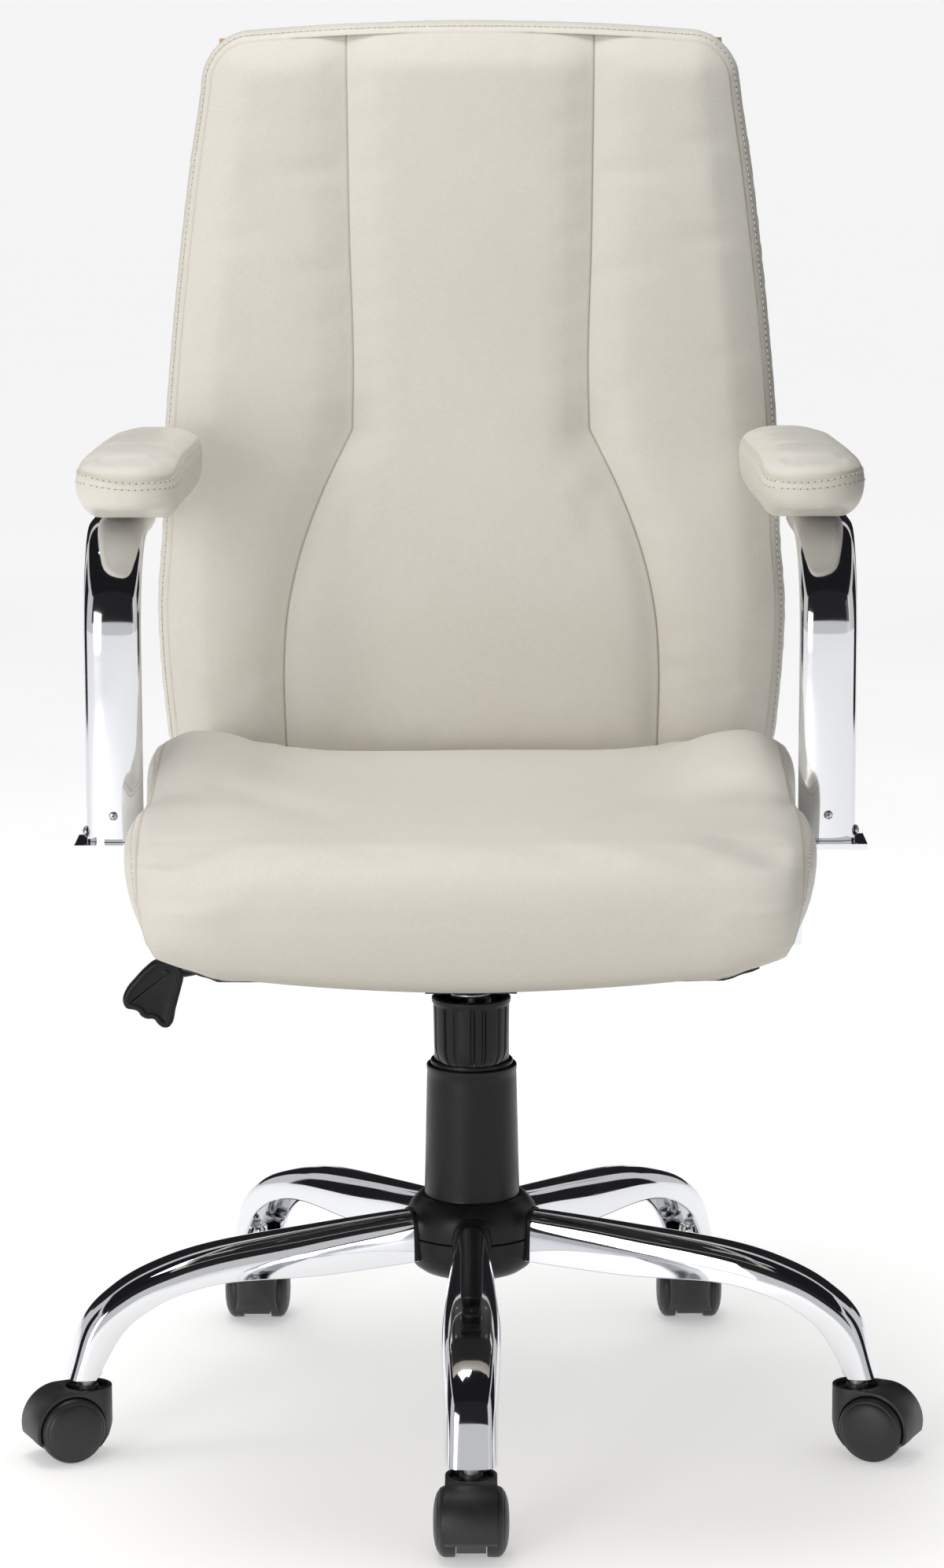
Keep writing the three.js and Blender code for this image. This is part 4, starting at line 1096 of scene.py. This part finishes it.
LEG_ANGLES = (270, 342, 54, 126, 198)
TRAIL_ANGLES = (270, 335, 90, 90, 205)
STEM_CIRCLE = 305
LEG_TOP = [(29.6, 166), (50, 168), (130, 162), (204, 154.5), (250, 143), (283, 127), (307, 104), (321.5, 62)]
LEG_LOW = [(29.6, 133), (50, 131), (125, 128), (197, 130), (236, 124), (262, 113), (283, 96), (303, 62)]
LEG_HALF = curve([(29.6, 13), (46, 15), (104, 17.5), (159, 20.5), (205, 22), (260, 22), (297, 20.5),
                  (321.5, 19)])
LEG_SECTION = [(1.0, 0.0), (0.99, 0.18), (0.965, 0.4), (0.915, 0.62), (0.82, 0.8), (0.66, 0.915), (0.42, 0.975),
               (0.0, 1.0)]
LEG_WALL = 2.6
LEG_TOP_R, LEG_TOP_Z = (curve([(i, p[k]) for i, p in enumerate(LEG_TOP)]) for k in (0, 1))
LEG_LOW_R, LEG_LOW_Z = (curve([(i, p[k]) for i, p in enumerate(LEG_LOW)]) for k in (0, 1))
ARCH = [tuple(p) for p in resample(LEG_SECTION, 0.075)]
ARCH += [(-s, h) for s, h in reversed(ARCH[:-1])]
HUB_SIDES = 96


def leg_section(t, grow=0.0, wall=None):
    """One section of a leg's pressed channel, t being the count of stations from the hub outwards."""
    top = Vector((LEG_TOP_R(t), LEG_TOP_Z(t)))
    low = Vector((LEG_LOW_R(t), LEG_LOW_Z(t)))
    up = (top - low).normalized()
    height = (top - low).length + grow
    half = LEG_HALF(top.x) + grow
    drawn = lambda w, h: [(low + up * (v * h), u * w) for u, v in ARCH]
    points = drawn(half, height)
    if wall:
        lip = low - up * 0.9
        outer, inner = half - 0.3 * wall, half - 0.8 * wall
        points += [(lip, -outer), (lip, -inner), *reversed(drawn(half - wall, height - wall))]
        points += [(lip, inner), (lip, outer)]
    return [(p.x, w, p.y) for p, w in points]


def make_base():
    stations = [0, 0.3, 0.6, 0.8] + [1 + i / 9 for i in range(54)] + [7]
    for number, angle in enumerate(LEG_ANGLES, 1):
        turn = about_z(angle)
        stem = turn @ Matrix.Translation((STEM_CIRCLE, 0, 0))
        shape = Shape()
        shape.rings([leg_section(t, 0, LEG_WALL) for t in stations], matrix=turn)
        plate = [(STEM_CIRCLE + 2 + 13.125 * c, 14.85 * s) for c, s in circle(1, 45)]
        slab(shape, plate, 62, 66, 0.8, matrix=turn)
        shape.lathe([(5.7, 62.2), (11.2, 61.9), (11.6, 62.4), (11.6, 66), (11.2, 70), (9.9, 77), (9.1, 82.4),
                     (8.6, 83.8), (8.0, 84.2), (5.7, 84.2)], 40, matrix=stem)
        shape.object(f"leg_chrome_{number}", "base", CHROME, node=f"base_leg_{number}", sharp=38)
        tip = Shape()
        tip.lathe([(0.01, 45.4), (4.6, 45.4), (5.5, 46.4), (5.5, 49), (5.0, 49.4), (5.0, 50.6), (5.5, 51),
                   (5.5, 84), (5.2, 86), (4.2, 87.4), (2.2, 88), (0.01, 88.1)], 28, matrix=stem, closed=False)
        tip.object(f"stem_{number}", "base", STEEL, node=f"caster_stem_{number}", sharp=45)

    shape = Shape()
    shape.lathe([(47.6, 148.3), (50.3, 148.3), (50.9, 148.9), (51.0, 154), (50.8, 160), (49.8, 165),
                 (47.4, 169.8), (44.2, 174), (40.6, 177.0), (38.8, 177.9), (37.6, 177.9), (36.9, 177.4),
                 (36.9, 171), (39, 168.7), (46.0, 160)], HUB_SIDES)
    hood_steps = ((0.5, 0.9), (0.7, 1.0), (1.015, 1.0), (1.02, 0.6), (1.01, 0.2))
    for angle in LEG_ANGLES:
        shape.rings([leg_section(t, grow) for t, grow in hood_steps], matrix=about_z(angle))
    shape.object("hub_upper", "base", BLACK_PLASTIC, node="hub_upper_shell", sharp=38)
    shape = Shape()
    shape.lathe([(47.6, 147.7), (50.3, 147.7), (50.9, 147.1), (50.9, 138), (50.1, 132.5), (48.0, 127),
                 (44.0, 122.4), (38.6, 118.6), (33, 116.6), (29, 116), (13, 116), (12, 116.4), (12, 118.4),
                 (29, 118.6), (36, 121), (42.4, 125), (45.8, 130), (47.4, 138)], HUB_SIDES)
    shape.object("hub_lower", "base", BLACK_PLASTIC, node="hub_lower_shell", sharp=38)

    sleeve("cover_low", "base", "cover_lower", 171.3, 280, 36.6, 34.1, rim=1.6, seat=True)
    sleeve("cover_mid", "middle_cover", "cover_middle", 178, 283.5, 31.3, 31.3, rim=0.9)
    sleeve("cover_top", "mechanism", "cover_upper", 183, 355.7, 28.6, 28.6, rim=0.9)


def sleeve(name, body, node, low, high, outer_low, outer_high, rim, seat=False, wall=1.8):
    """A telescoping cover: a thin tube with rolled edges, and a foot flange if it stands on the hub."""
    at = lambda z: outer_low + (outer_high - outer_low) * (z - low) / (high - low)
    if seat:
        profile = [(outer_low - wall + 0.3, low), (outer_low + 0.5, low), (outer_low + 0.9, low + 0.6),
                   (outer_low + 0.8, low + 4), (outer_low + 0.2, low + 5.2), (at(low + 8), low + 8)]
    else:
        profile = [(outer_low - wall, low + 0.5), (outer_low - wall + 0.5, low), (outer_low - 0.5, low),
                   (outer_low, low + 0.5)]
    profile += [(at(z), z) for z in (low + 12 + (high - low - 22) * i / 8 for i in range(9))]
    top = at(high)
    profile += [(top, high - 5), (top + 0.25 * rim, high - 4.2), (top + 0.25 * rim, high - 0.9),
                (top - 0.2, high - 0.2), (top - 0.7, high), (top - wall + 0.6, high), (top - wall, high - 0.6)]
    profile += [(at(z) - wall, z) for z in (high - 8, (low + high) / 2, low + 8)]
    shape = Shape()
    shape.lathe(profile, HUB_SIDES)
    shape.object(name, body, BLACK_PLASTIC, node=node, sharp=38)


# ---- Casters ----


def carved(shape, cuts):
    """A solid with other solids cut from it or kept in common with it, as points and faces in millimetres."""
    tools = []
    for part in (shape, *(cut for _, cut in cuts)):
        tools.append(bpy.data.objects.new("tool", part.mesh("tool", 1, 0.001)))
        scene.collection.objects.link(tools[-1])
    base = tools[0]
    for (operation, _), tool in zip(cuts, tools[1:]):
        modifier = base.modifiers.new("cut", "BOOLEAN")
        modifier.operation = operation
        modifier.object = tool
        modifier.solver = "EXACT"
    modifier = base.modifiers.new("edge", "BEVEL")
    modifier.width = 0.7
    modifier.segments = 2
    modifier.limit_method = "ANGLE"
    modifier.angle_limit = math.radians(32)
    evaluated = base.evaluated_get(bpy.context.evaluated_depsgraph_get())
    mesh = bpy.data.meshes.new_from_object(evaluated)
    points = [tuple(v.co) for v in mesh.vertices]
    faces = [tuple(p.vertices) for p in mesh.polygons]
    for tool in tools:
        bpy.data.objects.remove(tool)
    return points, faces


def block(x0, x1, y0, y1, z0, z1):
    shape = Shape()
    shape.rings([[(x0, y0, z), (x1, y0, z), (x1, y1, z), (x0, y1, z)] for z in (z0, z1)])
    return shape


WHEEL_TRAIL, WHEEL_R, HOOD_HALF, HOOD_R = 18, 25, 18.5, 28.5
CUP_RIM_Z = 53.5
WHEEL_INNER = 11.2


def hood():
    """The caster's hood, with its trail along +X and the stem on the Z axis."""
    turned = [math.radians(a) for a in range(-15, 91, 5)]
    arc = [(WHEEL_TRAIL + HOOD_R * math.cos(a), WHEEL_R + HOOD_R * math.sin(a)) for a in turned]
    side = [(-18.5, CUP_RIM_Z), (-18.5, 29), (-16.5, 25.6), (-11, 17), (0, 6.5), (33, 6.5), *arc,
            (14.5, CUP_RIM_Z)]
    body = Shape()
    body.rings([[(x, y, z) for x, z in side] for y in (-HOOD_HALF, HOOD_HALF)])
    turned = [math.radians(a) for a in range(90, 271, 6)]
    front = [(HOOD_HALF * math.cos(a), HOOD_HALF * math.sin(a)) for a in turned]
    plan = Shape()
    plan.rings([[(x, y, z) for x, y in [*front, (62, -HOOD_HALF), (62, HOOD_HALF)]] for z in (0, 70)])
    axle = Matrix.Translation((WHEEL_TRAIL, 0, WHEEL_R)) @ Matrix.Rotation(math.radians(90), 4, "X")
    well = WHEEL_INNER - 0.7
    cup = Shape()
    cup.lathe([(8.2, 49.6), (16.3, 49.6), (16.3, 70), (8.2, 70)], 48)
    holes = (disc(26.2, well, 20, axle), disc(26.2, -20, -well, axle), cup, disc(6.0, 45, 70))
    return carved(body, [("INTERSECT", plan)] + [("DIFFERENCE", hole) for hole in holes])


def disc(r, low, high, matrix=None):
    shape = Shape()
    shape.rings([[(x, y, z) for x, y in circle(r, 64)] for z in (low, high)], matrix=matrix)
    return shape


def make_casters():
    points, faces = hood()
    rib = block(7.9, 16.5, -0.7, 0.7, 49.2, 52.6)
    tread = [(3.3, WHEEL_INNER), (23.6, WHEEL_INNER), (24.6, WHEEL_INNER + 0.3), (25.0, WHEEL_INNER + 1.3),
             (25.0, 18.2), (24.85, 19.4), (24.3, 20.7), (23.3, 22.1), (22.2, 22.9), (21.7, 22.9), (21.3, 23.5),
             (19.5, 24.5), (16, 25.7), (11, 26.55), (6, 26.9), (0.01, 27.0), (0.01, 25.6), (3.3, 24.4)]
    for number, (leg_angle, trail) in enumerate(zip(LEG_ANGLES, TRAIL_ANGLES), 1):
        a = math.radians(leg_angle)
        stem = Matrix.Translation((STEM_CIRCLE * math.cos(a), STEM_CIRCLE * math.sin(a), 0))
        place = stem @ about_z(trail)
        shape = Shape()
        shape.add(points, faces, matrix=place)
        for k in range(4):
            shape.add(rib.points, rib.faces, matrix=place @ about_z(45 + 90 * k))
        post = [(6.0, 47), (8.3, 47), (8.3, 53.8), (7.8, 54.6), (6.5, 54.6), (6.0, 54.1)]
        shape.lathe(post, 36, matrix=place)
        node = f"caster_hood_{number}"
        shape.object(f"hood_{number}", f"caster_{number}", CASTER_PLASTIC, node=node, sharp=34)
        for letter, side in (("a", -1), ("b", 1)):
            axle = place @ Matrix.Translation((WHEEL_TRAIL, 0, WHEEL_R)) @ facing((0, 0, 0), (0, side, 0))
            wheel = Shape()
            wheel.lathe(tread, 72, axle)
            node = f"wheel_{letter}_{number}"
            wheel.object(f"tread_{letter}_{number}", node, CASTER_PLASTIC, node=node, sharp=38)


# ---- Mechanism ----


def screw(shape, place, direction, r=4.2, height=1.8):
    """A domed screw head, with its cross recess drawn as a thin dark cross: painted shade of the recess."""
    matrix = facing(place, direction)
    dome = [(0.01, height), (r * 0.3, height * 0.98), (r * 0.62, height * 0.86), (r * 0.85, height * 0.6),
            (r * 0.97, height * 0.3), (r, 0.05), (r * 0.98, -0.2), (0.01, -0.2)]
    shape.lathe(dome, 28, matrix)
    w, l = r * 0.09, r * 0.42
    corners = ((-l, -w), (l, -w), (l, w), (-l, w))
    # The recess is a dark cross standing on the dome rather than a cut: painted shade of the recess.
    for turn in (20, 110):
        levels = [[(x, y, z) for x, y in corners] for z in (height * 0.9, height + 0.12)]
        shape.rings(levels, kind=1, matrix=matrix @ about_z(turn))


KNOB_Y = -70


def make_knob():
    """The tension knob: a ribbed cup under a plain flange."""
    profile = [(25.4, 304), (25.4, 346), (25.8, 347.6), (26.6, 348), (28.8, 348), (29.5, 347.4), (29.6, 346),
               (29.4, 344.2), (28.7, 343.4), (28.5, 342.4)]
    profile += [(28.5 - 0.6 * (342 - z) / 34, z) for z in (341.4, 338, 330, 322, 314, 309)]
    profile += [(27.4, 305.6), (26.2, 302.4), (24.6, 299.8), (23.0, 298.4), (21.4, 298), (12, 298), (11, 298.8),
                (9.6, 299), (8.6, 298.4), (8.0, 298.6), (8.0, 304)]

    def flute(r, z, angle):
        if z > 342.6 or r < 22.6 or (r < 25.5 and z > 303.9):
            return r
        turn = (math.degrees(angle) + 11.25) % 45 - 22.5
        near = min(abs(turn - 9.0), abs(turn + 9.0))
        return r - 1.5 * (1 - smooth(2.0, 3.9, near)) * smooth(342.6, 341.2, z)

    shape = Shape()
    shape.lathe(profile, 288, matrix=Matrix.Translation((0, KNOB_Y, 0)), flute=flute)
    shape.object("knob", "knob", BLACK_PLASTIC, node="tension_knob", sharp=30)

    low, high, turns, mean, wire = 307.5, 352.5, 4, 13.5, 2.0
    path = []
    for k in range(121):
        share = k / 120
        rise = clamp((share - 0.1) / 0.8)
        angle = 2 * math.pi * (turns + 1.2) * share
        path.append((mean * math.cos(angle), KNOB_Y + mean * math.sin(angle),
                     low + wire + (high - low - 2 * wire) * rise))
    rings = []
    for p, ahead in zip(path, np.gradient(np.array(path), axis=0)):
        out = unit(np.array([p[0], p[1] - KNOB_Y, 0.0]))
        up = np.cross(unit(ahead), out)
        rings.append([np.array(p) + a * out + b * up for a, b in circle(wire, 12)])
    shape = Shape()
    shape.rings(rings)
    spring = shape.object("spring", "mechanism", STEEL, node="tension_spring", sharp=60)
    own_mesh(spring)


def make_lever():
    shape = Shape()
    path = resample([(5, 4, 375.5), (-20, 4, 375.5), (-40, 3.4, 375.5), (-62, -2, 374.5), (-110, -19.5, 371.9),
                     (-160, -37.8, 369.8), (-205, -54, 367.5), (-228, -61, 365)], 5)
    shape.rings(rod(path, [2.4, 3.68] + [4] * (len(path) - 4) + [3.68, 2.4], 20))
    shape.object("lever_bar", "lever", STEEL, node="lever_rod", sharp=50)

    outline = [(-219, 373), (-228, 374.4), (-236, 374), (-245, 367.5), (-252, 360), (-258.5, 352), (-261, 346),
               (-260.8, 341.5), (-258.3, 337.4), (-254, 336.6), (-250, 335.2), (-247.6, 331.6), (-243, 329.4),
               (-238, 329.2), (-235, 325.4), (-231, 322.7), (-227, 323), (-224.3, 326), (-221.8, 336),
               (-217.5, 352), (-215.6, 360), (-216, 368)]
    outline = [tuple(p) for p in resample(outline, 2.0, closed=True)]
    if sum(a[0] * b[1] - b[0] * a[1] for a, b in zip(outline, outline[1:] + outline[:1])) < 0:
        outline.reverse()
    shape = Shape()
    levels = [(2.6, 6.0), (1.4, 5.7), (0.5, 4.8), (0.0, 3.2), (0.0, -3.2), (0.5, -4.8), (1.4, -5.7),
              (2.6, -6.0), (4.0, -6.0), (4.5, -5.8), (5.0, -5.2), (6.0, -5.0)]
    shape.rings([[(x, y - 62, z) for x, z in inset(outline, i)] for i, y in levels])
    path = resample([(-206, -54.5, 367.4), (-219, -58.8, 366.0), (-232, -62.2, 364.6)], 3)
    shape.rings(rod(path, [6.045] + [6.5] * (len(path) - 2) + [5.2], 24))
    shape.object("paddle", "lever", BLACK_PLASTIC, node="lever_paddle", sharp=35)


# ---- Arms ----


ARM_X, ARM_FOOT_Z, ARM_Y = 265, 465.4, -60


def make_arm(name, side):
    turned = [math.radians(a) for a in range(0, 91, 5)]
    bend = [(ARM_X, 15 - 75 * math.cos(a), 615 + 75 * math.sin(a)) for a in turned]
    post = [(ARM_X, ARM_Y, ARM_FOOT_Z + 149.6 * k / 14) for k in range(14)]
    tail = [(ARM_X, 50, 689.4), (ARM_X, 90, 688.5), (264.8, 120, 687.5), (264.5, 150, 686.5), (262.5, 185, 685),
            (261, 228, 684)]
    path = [(side * x, y, z) for x, y, z in post + bend + tail]
    width = curve([(-60, 42.6), (110, 42.6), (150, 36), (185, 29), (228, 25)])
    deep = lambda y: 10 if y < 110 else 10 - 1.6 * (y - 110) / 118
    shape = Shape()
    shape.rings(sweep(path, [superellipse(width(y) / 2, deep(y), 2.35, 48) for _, y, _ in path], (1, 0, 0)))
    shape.object("arm_tube_" + name, "seat", CHROME, node="arm_" + name, sharp=50)

    shape = Shape()
    screw(shape, (side * (ARM_X + 0.5), ARM_Y - 9.7, 485), (0, -1, 0), 3.4, 1.6)
    screw(shape, (side * (ARM_X + 21.1), -62, 472), (side, 0, 0), 4.2, 2.8)
    for x, y, r, height in ((198, -60, 5.2, 2.4), (165, -48, 6.2, 3.2), (165, -72, 6.2, 3.2)):
        screw(shape, (side * x, y, 389.0), (0, 0, -1), r, height)
    shape.object("arm_screws_" + name, "seat", STEEL, BLACK_STEEL, sharp=50)


def make_bolts():
    shape = Shape()
    for x, ys, z in ((82, (-92, 78), 392.6), (22, (125, 165), 387.9)):
        for place in ((-x, ys[0], z), (-x, ys[1], z), (x, ys[0], z), (x, ys[1], z)):
            screw(shape, place, (0, 0, -1), 6.0, 3.2)
    shape.object("seat_bolts", "seat", STEEL, BLACK_STEEL, sharp=50)


def make_dust_cover():
    """The cloth stapled under the seat's board, with an opening for the seat plate."""
    pan = [(0, -240), (-180, -232), (-208, -192), (-212, -100), (-208, 60), (-199, 160), (0, 160),
           (199, 160), (208, 60), (212, -100), (208, -192), (180, -232)]
    opening = [(0, -116), (-104, -116), (-104, -60), (-104, 0), (-104, 60), (-104, 102), (0, 102), (104, 102),
               (104, 60), (104, 0), (104, -60), (104, -116)]
    per = 13

    def spread(corners):
        loop = np.array(corners + corners[:1], float)
        along = running(loop)
        marks = [along[k] + (along[k + 1] - along[k]) * i / per
                 for k in range(len(corners)) for i in range(per)]
        return np.array([[np.interp(s, along, loop[:, j]) for j in (0, 1)] for s in marks])

    outer, hole = spread(pan), spread(opening)
    shape = Shape()
    shares = [0, 0.03, 0.07, 0.13, 0.22, 0.34, 0.46, 0.58, 0.7, 0.82, 0.92, 1]
    rings = []
    for sheet_z, order in ((394.75, shares), (395.45, list(reversed(shares)))):
        for t in order:
            ring = []
            for k, (a, b) in enumerate(zip(outer, hole)):
                x, y = a + (b - a) * t
                sag = 0.55 * math.sin(math.pi * t) * (0.6 + uneven((x, y, 0), 38, 2))
                tuck = 0.25 * math.sin(k * 2 * math.pi * 22 / len(outer)) * (1 - t) ** 3
                ring.append((x, y, sheet_z - sag + tuck))
            rings.append(ring)
    shape.rings(rings, closed=True)
    cloth = shape.object("dust_sheet", "seat", DUST_CLOTH, node="seat_dust_cover", sharp=70)
    area = 0.5 * abs(np.sum(outer[:, 0] * np.roll(outer[:, 1], -1) - outer[:, 1] * np.roll(outer[:, 0], -1)))
    area -= 208 * 218
    staples = Shape()
    ahead = np.roll(outer, -1, axis=0) - outer
    for k in range(4, len(outer), 7):
        p = outer[k] * 0.962
        d = unit(ahead[k])
        legs = ((-5, 395.6), (-4.9, 394.2), (-4.2, 393.8), (4.2, 393.8), (4.9, 394.2), (5, 395.6))
        staples.rings(rod([(*(p + d * s), z) for s, z in legs], [0.45] * len(legs), 6, (-d[1], d[0], 0.01)))
    wires = staples.object("staples", "seat", STEEL, sharp=60)


def finish_cad():
    """Gives the nodes that stay visible their finish and softened edges."""
    for entry in frame["record"]["subparts"]:
        node = NODES[entry["node"]]
        node.data.materials.clear()
        node.data.materials.append(BY_SLOT[entry["material_slot"]])
        if node.hide_render:
            continue
        node.data.polygons.foreach_set("use_smooth", [True] * len(node.data.polygons))
        node.data.set_sharp_from_angle(angle=math.radians(35))
        bevel = node.modifiers.new("edges", "BEVEL")
        bevel.width = 0.0006
        bevel.segments = 2
        bevel.limit_method = "ANGLE"
        bevel.angle_limit = math.radians(38)


make_camera()
make_studio()
make_back()
make_seat()
for side_name, side_sign in SIDES:
    make_pad(side_name, side_sign)
    make_arm(side_name, side_sign)
make_rear_cover()
make_base()
make_casters()
make_knob()
make_lever()
make_bolts()
make_dust_cover()
finish_cad()
